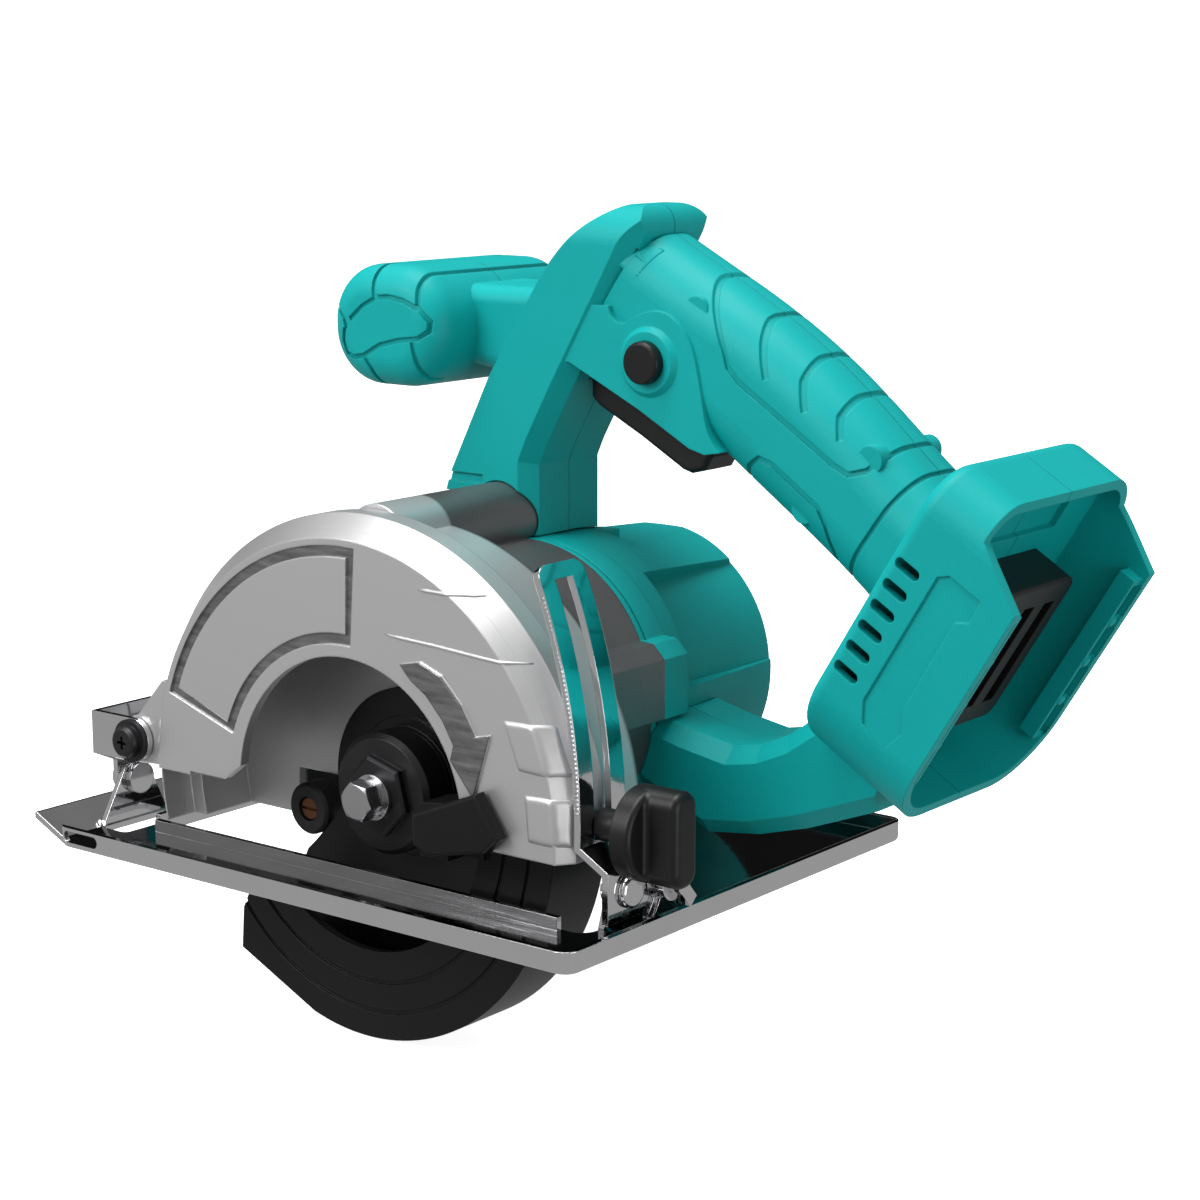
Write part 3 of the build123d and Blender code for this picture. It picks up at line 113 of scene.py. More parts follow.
class Shader:
    """One material's node tree."""

    def __init__(self, name: str) -> None:
        """Start an empty material with a principled surface.

        Args:
            name: the material's name.
        """
        self.material = bpy.data.materials.new(name)
        self.material.use_nodes = True
        self.tree = self.material.node_tree
        self.surface = next(n for n in self.tree.nodes if n.type == "BSDF_PRINCIPLED")

    def node(self, kind: str, settings: dict[str, Any], sockets: dict[Any, Any]) -> dict[str, Field]:
        """Add a node.

        Args:
            kind: the type's name without its ShaderNode prefix.
            settings: attributes that are set first.
            sockets: values or links of its inputs, by name or index.

        Returns:
            Its outputs by name.
        """
        made = self.tree.nodes.new("ShaderNode" + kind)
        for key, value in settings.items():
            setattr(made, key, value)
        for key, value in sockets.items():
            self.link(value, made.inputs[key])
        return {output.name: Field(self, output) for output in made.outputs if output.enabled}

    def link(self, value: Any, target: bpy.types.NodeSocket) -> None:
        """Link a field to a socket, or set the socket's own value.

        Args:
            value: a field, colour, vector or number.
            target: the input socket.
        """
        if isinstance(value, Field):
            self.tree.links.new(value.socket, target)
        elif isinstance(value, tuple) and target.type == "RGBA":
            target.default_value = (*value, 1.0)
        else:
            target.default_value = value

    def place(self) -> Field:
        """Object coordinates, in metres."""
        return self.node("TexCoord", {}, {})["Object"]

    def axes(self) -> tuple[Field, Field, Field]:
        """Object coordinates as three values, in metres."""
        split = self.node("SeparateXYZ", {}, {"Vector": self.place()})
        return split["X"], split["Y"], split["Z"]

    def noise(
        self, scale: Number, detail: Number = 3.0, stretch: Colour = (1, 1, 1), rough: Number = 0.55
    ) -> Field:
        """Fractal noise over the object.

        Args:
            scale: cells per metre.
            detail: octaves.
            stretch: scale along each axis.
            rough: strength of the fine octaves.

        Returns:
            The noise, about 0 to 1.
        """
        where = self.node("VectorMath", {"operation": "MULTIPLY"}, {0: self.place(), 1: stretch})["Vector"]
        sockets = {"Vector": where, "Scale": scale, "Detail": detail, "Roughness": rough}
        outputs = self.node("TexNoise", {}, sockets)
        return outputs.get("Fac") or outputs["Factor"]

    def mix(self, factor: Any, first: Any, second: Any) -> Field:
        """Mix two colours.

        Args:
            factor: share of the second colour.
            first: a colour or field.
            second: a colour or field.

        Returns:
            The mixed colour.
        """
        sockets = {MIX_FACTOR: factor, MIX_FIRST: first, MIX_SECOND: second}
        return self.node("Mix", {"data_type": "RGBA"}, sockets)["Result"]

    def rounded(self, radius: Number) -> Field:
        """Normal with every sharp edge softened to a radius in metres."""
        return self.node("Bevel", {"samples": 6}, {"Radius": radius})["Normal"]

    def edges(self, soft: Field) -> Field:
        """How close a sharp edge is.

        Args:
            soft: the softened normal.

        Returns:
            0 on open faces, up to 1 on edges.
        """
        flat = self.node("NewGeometry", {}, {})["Normal"]
        along = self.node("VectorMath", {"operation": "DOT_PRODUCT"}, {0: soft, 1: flat})["Value"]
        return (1 - along).above(0.06, 0.10)

    def bump(self, height: Field, depth: Number, strength: Number, base: Field) -> Field:
        """Bump normal from a height.

        Args:
            height: 0 to 1.
            depth: metres from 0 to 1.
            strength: share of the effect.
            base: the normal that it stands on.

        Returns:
            The bumped normal.
        """
        sockets = {"Height": height, "Distance": depth, "Strength": strength, "Normal": base}
        return self.node("Bump", {}, sockets)["Normal"]

    @classmethod
    def of(cls, material: bpy.types.Material) -> "Shader":
        """The node tree of a material that is already made.

        Args:
            material: the finished material.

        Returns:
            Its shader, open for more nodes.
        """
        shader = cls.__new__(cls)
        shader.material = material
        shader.tree = material.node_tree
        shader.surface = next(n for n in shader.tree.nodes if n.type == "BSDF_PRINCIPLED")
        return shader

    def blend(self, socket: str, mask: Field, value: Any) -> None:
        """Lay a second value over one of the surface's sockets.

        Args:
            socket: the socket's name.
            mask: where the second value shows.
            value: the second value or field.
        """
        target = self.surface.inputs[socket]
        linked = target.links[0].from_socket if target.is_linked else None
        if target.type == "RGBA":
            below = Field(self, linked) if linked else tuple(target.default_value)[:3]
            self.link(self.mix(mask, below, value), target)
        else:
            below = Field(self, linked) if linked else target.default_value
            self.link(mask * value + (1 - mask) * below, target)

    def finish(self, **sockets: Any) -> bpy.types.Material:
        """Set the surface's sockets.

        Args:
            sockets: values or fields, with underscores for spaces.

        Returns:
            The finished material.
        """
        for key, value in sockets.items():
            self.link(value, self.surface.inputs[key.replace("_", " ")])
        return self.material


@dataclass(frozen=True)
class MouldedPlastic:
    """Injection-moulded plastic with a fine eroded texture."""

    name: str
    colour: Colour
    shade: Colour
    worn: Colour
    roughness: float = 0.46
    gloss: float = 0.35
    grain: float = 3200.0
    grain_depth: float = 0.00005
    edge: float = 0.0005
    speck_share: float = 0.16
    rub_share: float = 0.35

    def make(self) -> bpy.types.Material:
        """Build the material.

        Returns:
            The finished material.
        """
        s = Shader(self.name)
        cloud = s.noise(34, 3)
        speck = s.noise(self.grain, 2)
        pebble = s.noise(self.grain * 0.4, 2)
        soft = s.rounded(self.edge)
        rub = s.edges(soft) * s.noise(150, 3).above(0.45, 0.5)
        colour = s.mix(cloud.above(0.5, 0.7), self.colour, self.shade)
        colour = s.mix(speck.above(0.6, 0.4) * self.speck_share, colour, self.worn)
        colour = s.mix(rub * self.rub_share, colour, self.worn)
        rough = self.roughness + (cloud - 0.5) * 0.1 + (speck - 0.5) * 0.14 - rub * 0.08
        return s.finish(
            Base_Color=colour,
            Roughness=rough,
            Normal=s.bump(speck * 0.6 + pebble * 0.4, self.grain_depth, 0.55, soft),
            Specular_IOR_Level=self.gloss,
        )


@dataclass(frozen=True)
class CastMetal:
    """Die-cast light alloy under a thin silver paint."""

    name: str
    colour: Colour
    shade: Colour
    metal: float = 0.6
    roughness: float = 0.40
    edge: float = 0.0007
    flake_colour: Colour = (0.8, 0.8, 0.81)
    flake_share: float = 0.12
    bare_colour: Colour = (0.72, 0.72, 0.73)
    bare_share: float = 0.5

    def make(self) -> bpy.types.Material:
        """Build the material.

        Returns:
            The finished material.
        """
        s = Shader(self.name)
        flow = s.noise(26, 3, (1.0, 1.0, 1.5))
        flake = s.noise(5200, 1)
        orange_peel = s.noise(900, 2)
        soft = s.rounded(self.edge)
        bare = s.edges(soft) * s.noise(220, 3).above(0.45, 0.5)
        colour = s.mix(flow.above(0.5, 0.9), self.colour, self.shade)
        colour = s.mix(flake.above(0.6, 0.3) * self.flake_share, colour, self.flake_colour)
        colour = s.mix(bare * self.bare_share, colour, self.bare_colour)
        rough = self.roughness + (flow - 0.5) * 0.05 + (flake - 0.5) * 0.12 - bare * 0.1
        return s.finish(
            Base_Color=colour,
            Metallic=self.metal,
            Roughness=rough,
            Normal=s.bump(flake * 0.5 + orange_peel * 0.5, 0.00003, 0.5, soft),
        )


@dataclass(frozen=True)
class BurnishedCasting(CastMetal):
    """The blade case's casting: darker grey from the gear case backwards, panel border and arrow ground bare.
    """

    arbor_height: float = 0.024
    face: float = 0.0225
    arrow_face: float = 0.0244
    outer: tuple[float, float, float, float] = (0.045, 0.072, 18.0, 94.0)
    inner: tuple[float, float, float, float] = (0.048, 0.069, 20.4, 91.6)
    ground: Colour = (0.30, 0.30, 0.305)
    streak: Colour = (0.17, 0.17, 0.175)
    rear_dark_edge: float = -0.0112
    rear_dark_soft: float = 0.0012
    rear_dark: Colour = (0.20, 0.20, 0.202)
    rear_dark_mottle: Colour = (0.16, 0.16, 0.162)

    def ground_mask(self, s: Shader) -> Field:
        """Where the casting is ground bare.

        Args:
            s: the material's node tree.

        Returns:
            1 on the panel's border and the arrow, 0 elsewhere.
        """
        x, y, z = s.axes()
        up = z - self.arbor_height
        radius = (x * x + up * up) ** 0.5
        angle = up._math("ARCTAN2", up, x) * math.degrees(1.0)
        boxes = []
        for near, far, first, last in (self.outer, self.inner):
            boxes.append(radius.inside(near, far) * angle.inside(first, last))
        border = boxes[0] * (1 - boxes[1]) * y.inside(self.face, self.arrow_face)
        return border + y.inside(self.arrow_face, 1.0)

    def make(self) -> bpy.types.Material:
        """Build the material.

        Returns:
            The finished material.
        """
        material = super().make()
        s = Shader.of(material)
        # Behind a set y, towards the motor, the casting turns darker grey.
        behind = 1 - s.axes()[1].above(self.rear_dark_edge, self.rear_dark_soft)
        rear_dark = s.mix(s.noise(60, 3).above(0.5, 0.7), self.rear_dark, self.rear_dark_mottle)
        s.blend("Base Color", behind, rear_dark)
        mask = self.ground_mask(s)
        scratch = s.noise(520, 3, (0.16, 1.0, 1.0))
        bare = s.mix(scratch.above(0.5, 0.4), self.ground, self.streak)
        s.blend("Base Color", mask, bare)
        s.blend("Roughness", mask, 0.2 + scratch * 0.22)
        s.blend("Metallic", mask, 0.55 + scratch * 0.6)
        return material


@dataclass(frozen=True)
class PlatedSteel:
    """Bright or dark plated steel with faint handling marks."""

    name: str
    colour: Colour
    shade: Colour
    roughness: float = 0.06
    marks: float = 0.10
    metal: float = 1.0
    ripple: float = 0.00025
    edge: float = 0.0003

    def make(self) -> bpy.types.Material:
        """Build the material.

        Returns:
            The finished material.
        """
        s = Shader(self.name)
        cloud = s.noise(24, 3)
        hair = s.noise(420, 2, (0.06, 1.0, 1.0)).above(0.64, 0.12)
        wave = s.noise(16, 2)
        colour = s.mix(cloud.above(0.52, 0.5), self.colour, self.shade)
        rough = self.roughness + cloud.above(0.58, 0.4) * self.marks * 0.4 + hair * self.marks * 0.5
        return s.finish(
            Base_Color=colour,
            Metallic=self.metal,
            Roughness=rough,
            Normal=s.bump(wave * 0.9 + hair * 0.1, self.ripple, 0.3, s.rounded(self.edge)),
        )


@dataclass(frozen=True)
class TopDarkenedChrome(PlatedSteel):
    """Chromed sheet whose upward faces are painted darker: a painted reflection of dark surroundings."""

    painted_dark_reflection: Colour = (0.20, 0.20, 0.205)

    def make(self) -> bpy.types.Material:
        """Build the material.

        Returns:
            The finished material.
        """
        material = super().make()
        s = Shader.of(material)
        normal = s.node("NewGeometry", {}, {})["Normal"]
        upward = s.node("SeparateXYZ", {}, {"Vector": normal})["Z"].above(0.85, 0.2)
        # Painted reflection: faces that point up are darkened, standing in for the dark surround they would
        # mirror.
        s.blend("Base Color", upward * (0.75 + s.noise(40, 3) * 0.4), self.painted_dark_reflection)
        return material


@dataclass(frozen=True)
class Rubber:
    """Matte black rubber."""

    name: str
    colour: Colour
    dust: Colour

    def make(self) -> bpy.types.Material:
        """Build the material.

        Returns:
            The finished material.
        """
        s = Shader(self.name)
        cloud = s.noise(120, 4)
        speck = s.noise(2200, 2)
        colour = s.mix(cloud.above(0.58, 0.4) * 0.5, self.colour, self.dust)
        return s.finish(
            Base_Color=colour,
            Roughness=0.62 + (speck - 0.5) * 0.2,
            Normal=s.bump(speck, 0.00008, 0.5, s.rounded(0.0006)),
        )


class Finishes(Enum):
    """Every finish on the saw."""

    HANDLE = MouldedPlastic(
        "handle_plastic", (0.002, 0.375, 0.370), (0.0015, 0.345, 0.340), (0.03, 0.50, 0.49), 0.46, 0.16
    )
    BLACK = MouldedPlastic(
        "black_plastic", (0.005, 0.005, 0.0054), (0.008, 0.008, 0.0084), (0.03, 0.03, 0.03), 0.40, 0.3
    )
    GUARD = MouldedPlastic(
        "guard_black", (0.0035, 0.0035, 0.0038), (0.006, 0.006, 0.0064), (0.022, 0.022, 0.022), 0.36, 0.25
    )
    CASE = BurnishedCasting("silver_casting", (0.62, 0.62, 0.625), (0.58, 0.58, 0.585), 0.78)
    CAST = CastMetal("plain_casting", (0.62, 0.62, 0.625), (0.58, 0.58, 0.585), 0.78)
    GEAR_CASE = CastMetal("plate_casting", (0.22, 0.22, 0.225), (0.20, 0.20, 0.205), 0.7)
    CHROME = PlatedSteel("chrome_sheet", (0.74, 0.74, 0.75), (0.68, 0.68, 0.69))
    # The sole's upward faces carry a painted dark reflection.
    SOLE = TopDarkenedChrome("sole_chrome", (0.74, 0.74, 0.75), (0.68, 0.68, 0.69))
    STEEL = PlatedSteel("bright_steel", (0.52, 0.52, 0.53), (0.44, 0.44, 0.45), 0.22, 0.2)
    # Copper darkened as painted shade of the hole that the bumper screw sits in.
    COPPER_PAINTED_SHADE = PlatedSteel("copper_painted_shade", (0.22, 0.10, 0.05), (0.16, 0.075, 0.04), 0.34, 0.2)
    DARK_STEEL = PlatedSteel("black_oxide", (0.03, 0.03, 0.032), (0.045, 0.045, 0.047), 0.34, 0.2, 0.8)
    COPPER = PlatedSteel("copper", (0.6, 0.28, 0.13), (0.45, 0.2, 0.1), 0.28, 0.2)
    CARBON = MouldedPlastic("carbon", (0.02, 0.02, 0.021), (0.03, 0.03, 0.03), (0.05, 0.05, 0.05), 0.6)
    RUBBER = Rubber("stop_rubber", (0.008, 0.008, 0.008), (0.03, 0.03, 0.028))


class Wardrobe:
    """Makes each finish once and puts it on pieces."""

    def __init__(self) -> None:
        """Start with no finish made."""
        self.made: dict[str, bpy.types.Material] = {}

    def get(self, finish: Finishes) -> bpy.types.Material:
        """The finish's material, made on first use.

        Args:
            finish: the finish.

        Returns:
            Its material.
        """
        if finish.name not in self.made:
            self.made[finish.name] = finish.value.make()
        return self.made[finish.name]

    def dress(self, finish: Finishes, names: Iterable[str]) -> None:
        """Put a finish on CAD nodes.

        Args:
            finish: the finish.
            names: node names.
        """
        for name in names:
            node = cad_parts[name]
            node.data.materials.clear()
            node.data.materials.append(self.get(finish))
            log.info("dressed %s in %s", name, finish.value.name)


class Dresser:
    """Finishes of the nodes that keep their solid shape."""

    groups: dict[Finishes, tuple[str, ...]] = {
        Finishes.HANDLE: ("housing_left", "housing_right", "motor_housing"),
        Finishes.CASE: ("blade_case",),
        Finishes.GEAR_CASE: ("bearing_plate",),
        Finishes.GUARD: ("lower_guard",),
        Finishes.BLACK: (
            "trigger",
            "lock_button",
            "terminal_block",
            "switch_body",
            "brush_plate",
            "cooling_fan",
            "depth_knob",
        ),
        Finishes.RUBBER: ("stop_bumper",),
        Finishes.DARK_STEEL: ("outer_flange", "pivot_screw", "handle_screws", "motor_screws", "guard_ring"),
        Finishes.STEEL: (
            "inner_flange",
            "bolt_washer",
            "blade_bolt",
            "spindle",
            "drive_gear",
            "rotor_shaft",
            "spindle_bearings",
            "rotor_bearings",
            "trigger_pin",
            "guard_spring",
            "trigger_spring",
            "motor_can",
            "armature",
        ),
        Finishes.SOLE: ("base_plate",),
        Finishes.CHROME: (
            "front_strap",
            "depth_guide",
            "bevel_rivets",
            "bevel_bolt",
            "bevel_wing_nut",
        ),
        Finishes.COPPER: ("armature_windings", "commutator", "terminal_blades"),
        # The bumper screw's darker copper is painted shade of its hole.
        Finishes.COPPER_PAINTED_SHADE: ("bumper_screw",),
        Finishes.CARBON: ("carbon_brushes", "field_magnets"),
    }

    def dress(self, wardrobe: Wardrobe) -> None:
        """Dress every node."""
        for finish, names in self.groups.items():
            wardrobe.dress(finish, names)


class Skin:
    """A node's surface that details are laid on."""

    def __init__(self, node: str) -> None:
        """Read the node's mesh.

        Args:
            node: the CAD node's name.
        """
        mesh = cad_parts[node].data
        points = [v.co.copy() for v in mesh.vertices]
        self.tree = BVHTree.FromPolygons(points, [tuple(p.vertices) for p in mesh.polygons])

    def drop(self, x: float, z: float, start: float = 0.06) -> tuple[Vector, Vector]:
        """Look along -Y at the surface.

        Args:
            x: place along the saw, in metres.
            z: height in metres.
            start: y that the look starts from.

        Returns:
            The point there and the surface's normal.
        """
        point, normal, _, _ = self.tree.ray_cast(Vector((x, start, z)), Vector((0, -1, 0)))
        return point, normal


def along(path: Sequence[tuple[float, float]], share: float) -> Vector:
    """Point at a share of a path's length.

    Args:
        path: (x, z) points in millimetres.
        share: 0 to 1.

    Returns:
        The point (x, z) in metres.
    """
    points = [Vector(p) * MM for p in path]
    lengths = [(b - a).length for a, b in zip(points, points[1:])]
    left = share * sum(lengths)
    for start, end, length in zip(points, points[1:], lengths):
        if left <= length:
            return start.lerp(end, left / length)
        left -= length
    return points[-1]


def close_shell(work: bmesh.types.BMesh, upper: Any, lower: Any) -> None:
    """Join two grids of vertices into a closed shell.

    Args:
        work: the mesh that the vertices are in.
        upper: the outer grid, as columns of vertices.
        lower: the inner grid, of the same size.
    """
    columns, rows = len(upper) - 1, len(upper[0]) - 1
    for i in range(columns):
        for j in range(rows):
            work.faces.new((upper[i][j], upper[i + 1][j], upper[i + 1][j + 1], upper[i][j + 1]))
            work.faces.new((lower[i][j], lower[i][j + 1], lower[i + 1][j + 1], lower[i + 1][j]))
    ring = [(i, 0) for i in range(columns)] + [(columns, j) for j in range(rows)]
    ring += [(i, rows) for i in range(columns, 0, -1)] + [(0, j) for j in range(rows, 0, -1)]
    for (a, b), (c, d) in zip(ring, ring[1:] + ring[:1]):
        work.faces.new((upper[a][b], lower[a][b], lower[c][d], upper[c][d]))


def close_rings(work: bmesh.types.BMesh, rings: Any) -> None:
    """Join rings of vertices into a closed body.

    Args:
        work: the mesh that the vertices are in.
        rings: rings of the same number of vertices, from one end to the other.
    """
    for first, second in zip(rings, rings[1:]):
        for k in range(len(first)):
            after = (k + 1) % len(first)
            work.faces.new((first[k], first[after], second[after], second[k]))
    work.faces.new(rings[0][::-1])
    work.faces.new(rings[-1])


def put(name: str, data: Any) -> bpy.types.Object:
    """Make an object and add it to the scene.

    Args:
        name: the object's name.
        data: its mesh, lamp or camera.

    Returns:
        The object.
    """
    made = bpy.data.objects.new(name, data)
    bpy.context.scene.collection.objects.link(made)
    return made


def piece_from(
    name: str, work: bmesh.types.BMesh, body: str, material: bpy.types.Material
) -> bpy.types.Object:
    """Finish a mesh as a piece on a body.

    Args:
        name: the piece's name.
        work: its mesh, which is freed.
        body: the body that it rides on.
        material: its finish.

    Returns:
        The piece.
    """
    bmesh.ops.recalc_face_normals(work, faces=work.faces)
    mesh = bpy.data.meshes.new(name)
    work.to_mesh(mesh)
    work.free()
    mesh.materials.append(material)
    for face in mesh.polygons:
        face.use_smooth = True
    piece = put(name, mesh)
    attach(piece, body)
    log.info("made %s on %s with %d faces", name, body, len(mesh.polygons))
    return piece


@dataclass
class CaseRelief:
    """Cast pads and parting lines on the blade case."""

    pad_height: float = 0.0006
    pad_soft: float = 0.0011
    pad_sink: float = 0.0005
    pad_width: float = 0.016
    line_width: float = 0.0011
    line_height: float = 0.00035
    line_steps: int = 44
    line_sides: int = 10
    line_tip: float = 0.35
    tip_steps: int = 5
    pads: tuple[tuple[Any, Any], ...] = (
        (
            ((-56.6, 56.7), (-63.8, 57.0), (-68.2, 56.8), (-71.0, 56.4)),
            ((-61.9, 43.5), (-68.9, 43.2), (-73.2, 43.2), (-76.2, 42.9)),
        ),
        (
            ((-63.7, 37.9), (-69.4, 38.2), (-74.6, 38.1), (-77.0, 37.4)),
            ((-64.9, 24.9), (-70.9, 24.8), (-75.2, 25.0), (-77.2, 24.4)),
        ),
    )
    lines: tuple[tuple[tuple[float, float], ...], ...] = (
        ((-28.2, 87.5), (-33.6, 87.4), (-41.4, 87.3), (-46.6, 87.1)),
        (
            (-16.0, 74.0),
            (-21.4, 73.6),
            (-34.5, 73.0),
            (-44.2, 72.3),
            (-53.6, 71.7),
            (-59.1, 71.5),
            (-62.5, 71.2),
        ),
    )
    columns: int = 22
    rows: int = 16

    def pad(self, work: bmesh.types.BMesh, skin: Skin, top: Any, bottom: Any) -> None:
        """Lay one raised pad on the skin.

        Args:
            work: the mesh that it is added to.
            skin: the casting's surface.
            top: the pad's upper edge.
            bottom: its lower edge.
        """
        grids = []
        for under in (False, True):
            grid = []
            for i in range(self.columns + 1):
                u = i / self.columns
                high, low = along(top, u), along(bottom, u)
                wide = min(u, 1 - u) * self.pad_width
                column = []
                for j in range(self.rows + 1):
                    v = j / self.rows
                    place = high.lerp(low, v)
                    point, normal = skin.drop(place.x, place.y)
                    near = min(wide, min(v, 1 - v) * (high - low).length, self.pad_soft) / self.pad_soft
                    smooth = near * near * (3 - 2 * near)
                    rise = smooth * (self.pad_height + self.pad_sink / 2) - self.pad_sink / 2
                    offset = -self.pad_sink if under else rise
                    column.append(work.verts.new(point + normal * offset))
                grid.append(column)
            grids.append(grid)
        close_shell(work, *grids)

    def line(self, work: bmesh.types.BMesh, skin: Skin, path: Sequence[tuple[float, float]]) -> None:
        """Lay one half-buried bead on the skin.

        Args:
            work: the mesh that it is added to.
            skin: the casting's surface.
            path: the bead's (x, z) points in millimetres.
        """
        steps, sides = self.line_steps, self.line_sides
        spots = []
        for k in range(steps + 1):
            place = along(path, k / steps)
            spots.append(skin.drop(place.x, place.y))
        rings = []
        for k, (point, normal) in enumerate(spots):
            ahead = spots[min(k + 1, steps)][0] - spots[max(k - 1, 0)][0]
            across = ahead.cross(normal).normalized() * self.line_width / 2
            taper = self.line_tip + (1 - self.line_tip) * min(1.0, min(k, steps - k) / self.tip_steps)
            ring = []
            for side in range(sides):
                turn = math.tau * side / sides
                offset = across * math.cos(turn) + normal * (self.line_height * math.sin(turn))
                ring.append(work.verts.new(point + offset * taper))
            rings.append(ring)
        close_rings(work, rings)

    def build(self, wardrobe: Wardrobe) -> None:
        """Make the pads and the lines.

        Args:
            wardrobe: where the finishes come from.
        """
        skin = Skin("blade_case")
        casting = wardrobe.get(Finishes.CAST)
        work = bmesh.new()
        for top, bottom in self.pads:
            self.pad(work, skin, top, bottom)
        piece_from("case_pads", work, "saw_body", casting)
        work = bmesh.new()
        for path in self.lines:
            self.line(work, skin, path)
        piece_from("case_parting_lines", work, "saw_body", casting)


@dataclass
class DepthStrip:
    """Pressed notches along the depth strip's outer edge."""

    pivot: tuple[float, float] = (0.083, 0.030)
    inner: float = 0.1612
    outer: float = 0.1628
    edge_y: float = 0.0210
    root: float = 0.0006
    rise: float = 0.0005
    crest: float = 0.55
    first: float = 158.6
    last: float = 178.4
    pitch: float = 0.42
    share: float = 0.55

    def tooth(self, work: bmesh.types.BMesh, angle: float) -> None:
        """Add one tooth with a sloping crest.

        Args:
            work: the mesh that it is added to.
            angle: its middle, in degrees about the depth pivot.
        """
        half = self.pitch * self.share / 2
        levels = (
            (self.edge_y - self.root, 1.0),
            (self.edge_y + self.rise * 0.5, 1.0),
            (self.edge_y + self.rise, self.crest),
        )
        rings = []
        for y, size in levels:
            ring = []
            for radius, turn in ((0, -1), (1, -1), (1, 1), (0, 1)):
                middle = (self.inner + self.outer) / 2
                reach = middle + (radius - 0.5) * (self.outer - self.inner) * (0.5 + size / 2)
                spot = math.radians(angle + turn * half * size)
                x = self.pivot[0] + reach * math.cos(spot)
                z = self.pivot[1] + reach * math.sin(spot)
                ring.append(work.verts.new((x, y, z)))
            rings.append(ring)
        close_rings(work, rings)

    def build(self, wardrobe: Wardrobe) -> None:
        """Make the row of notches.

        Args:
            wardrobe: where the finishes come from.
        """
        work = bmesh.new()
        count = int((self.last - self.first) / self.pitch)
        for k in range(count + 1):
            self.tooth(work, self.first + k * self.pitch)
        chrome = wardrobe.get(Finishes.CHROME)
        piece = piece_from("depth_strip_notches", work, "depth_frame", chrome)
        for face in piece.data.polygons:
            face.use_smooth = False


@dataclass
class BatteryBay:
    """Moulded bosses on the bay's rails."""

    origin: tuple[float, float] = (-136.8, 93.9)
    deep: tuple[float, float] = (-0.8526, -0.5225)
    high: tuple[float, float] = (-0.5225, 0.8526)
    rail_end: float = 36.0
    rails: tuple[float, float] = (-94.4, -29.6)
    heights: tuple[float, ...] = (3.0, -11.0, -24.5)
    radius: float = 1.55
    profile: tuple[tuple[float, float], ...] = ((1.0, -1.2), (1.0, 0.25), (0.86, 0.5), (0.5, 0.62))
    sides: int = 20

    def boss(self, work: bmesh.types.BMesh, y: float, up: float) -> None:
        """Add one rounded boss.

        Args:
            work: the mesh that it is added to.
            y: the rail's middle, in millimetres.
            up: place along the bay.
        """
        rings = []
        for share, rise in self.profile:
            ring = []
            for side in range(self.sides):
                turn = math.tau * side / self.sides
                place_up = up + self.radius * share * math.sin(turn)
                place_deep = self.rail_end + rise
                x = self.origin[0] + self.deep[0] * place_deep + self.high[0] * place_up
                z = self.origin[1] + self.deep[1] * place_deep + self.high[1] * place_up
                across = y + self.radius * share * math.cos(turn)
                ring.append(work.verts.new((x * MM, across * MM, z * MM)))
            rings.append(ring)
        close_rings(work, rings)

    def build(self, wardrobe: Wardrobe) -> None:
        """Make the bosses of both rails.

        Args:
            wardrobe: where the finishes come from.
        """
        work = bmesh.new()
        for y in self.rails:
            for up in self.heights:
                self.boss(work, y, up)
        piece_from("rail_bosses", work, "saw_body", wardrobe.get(Finishes.HANDLE))


@dataclass
class CrownWeb:
    """Thin wall behind the grip's shoulders, where the solid shell has a pinhole beside the arch."""

    middle: float = -62.0
    slope: float = 35.0
    corner: float = 13.5
    outside: float = 13.45
    inside: float = 12.6
    reach: tuple[float, float] = (-66.0, -57.0)
    spread: tuple[float, float] = (10.0, 58.0)
    end: tuple[float, float, float] = (-62.0, 173.0, 16.0)
    onward: tuple[float, float, float] = (-36.0, 176.2, 16.3)
    steps: int = 12

    def spot(self, side: int, along_grip: float, turn: float, radius: float) -> Vector:
        """Point on a shoulder of the grip.

        Args:
            side: 1 for the left shoulder, -1 for the right one.
            along_grip: place along the grip, in millimetres.
            turn: angle up the shoulder, in degrees.
            radius: distance from the shoulder's centre line, in millimetres.

        Returns:
            The point in metres.
        """
        share = (along_grip - self.end[0]) / (self.onward[0] - self.end[0])
        top, half = (a + (b - a) * share for a, b in zip(self.end[1:], self.onward[1:]))
        out = half - self.corner + radius * math.cos(math.radians(turn))
        up = top - self.corner + radius * math.sin(math.radians(turn))
        c, s = math.cos(math.radians(self.slope)), math.sin(math.radians(self.slope))
        return Vector((-c * along_grip - s * up, self.middle + side * out, c * up - s * along_grip)) * MM

    def build(self, wardrobe: Wardrobe) -> None:
        """Make the wall behind both shoulders.

        Args:
            wardrobe: where the finishes come from.
        """
        work = bmesh.new()
        shares = [k / self.steps for k in range(self.steps + 1)]
        places = [self.reach[0] + (self.reach[1] - self.reach[0]) * share for share in shares]
        turns = [self.spread[0] + (self.spread[1] - self.spread[0]) * share for share in shares]
        for side in (1, -1):
            grids = []
            for radius in (self.outside, self.inside):
                grids.append([[work.verts.new(self.spot(side, a, t, radius)) for t in turns] for a in places])
            close_shell(work, *grids)
        piece_from("crown_web", work, "saw_body", wardrobe.get(Finishes.HANDLE))


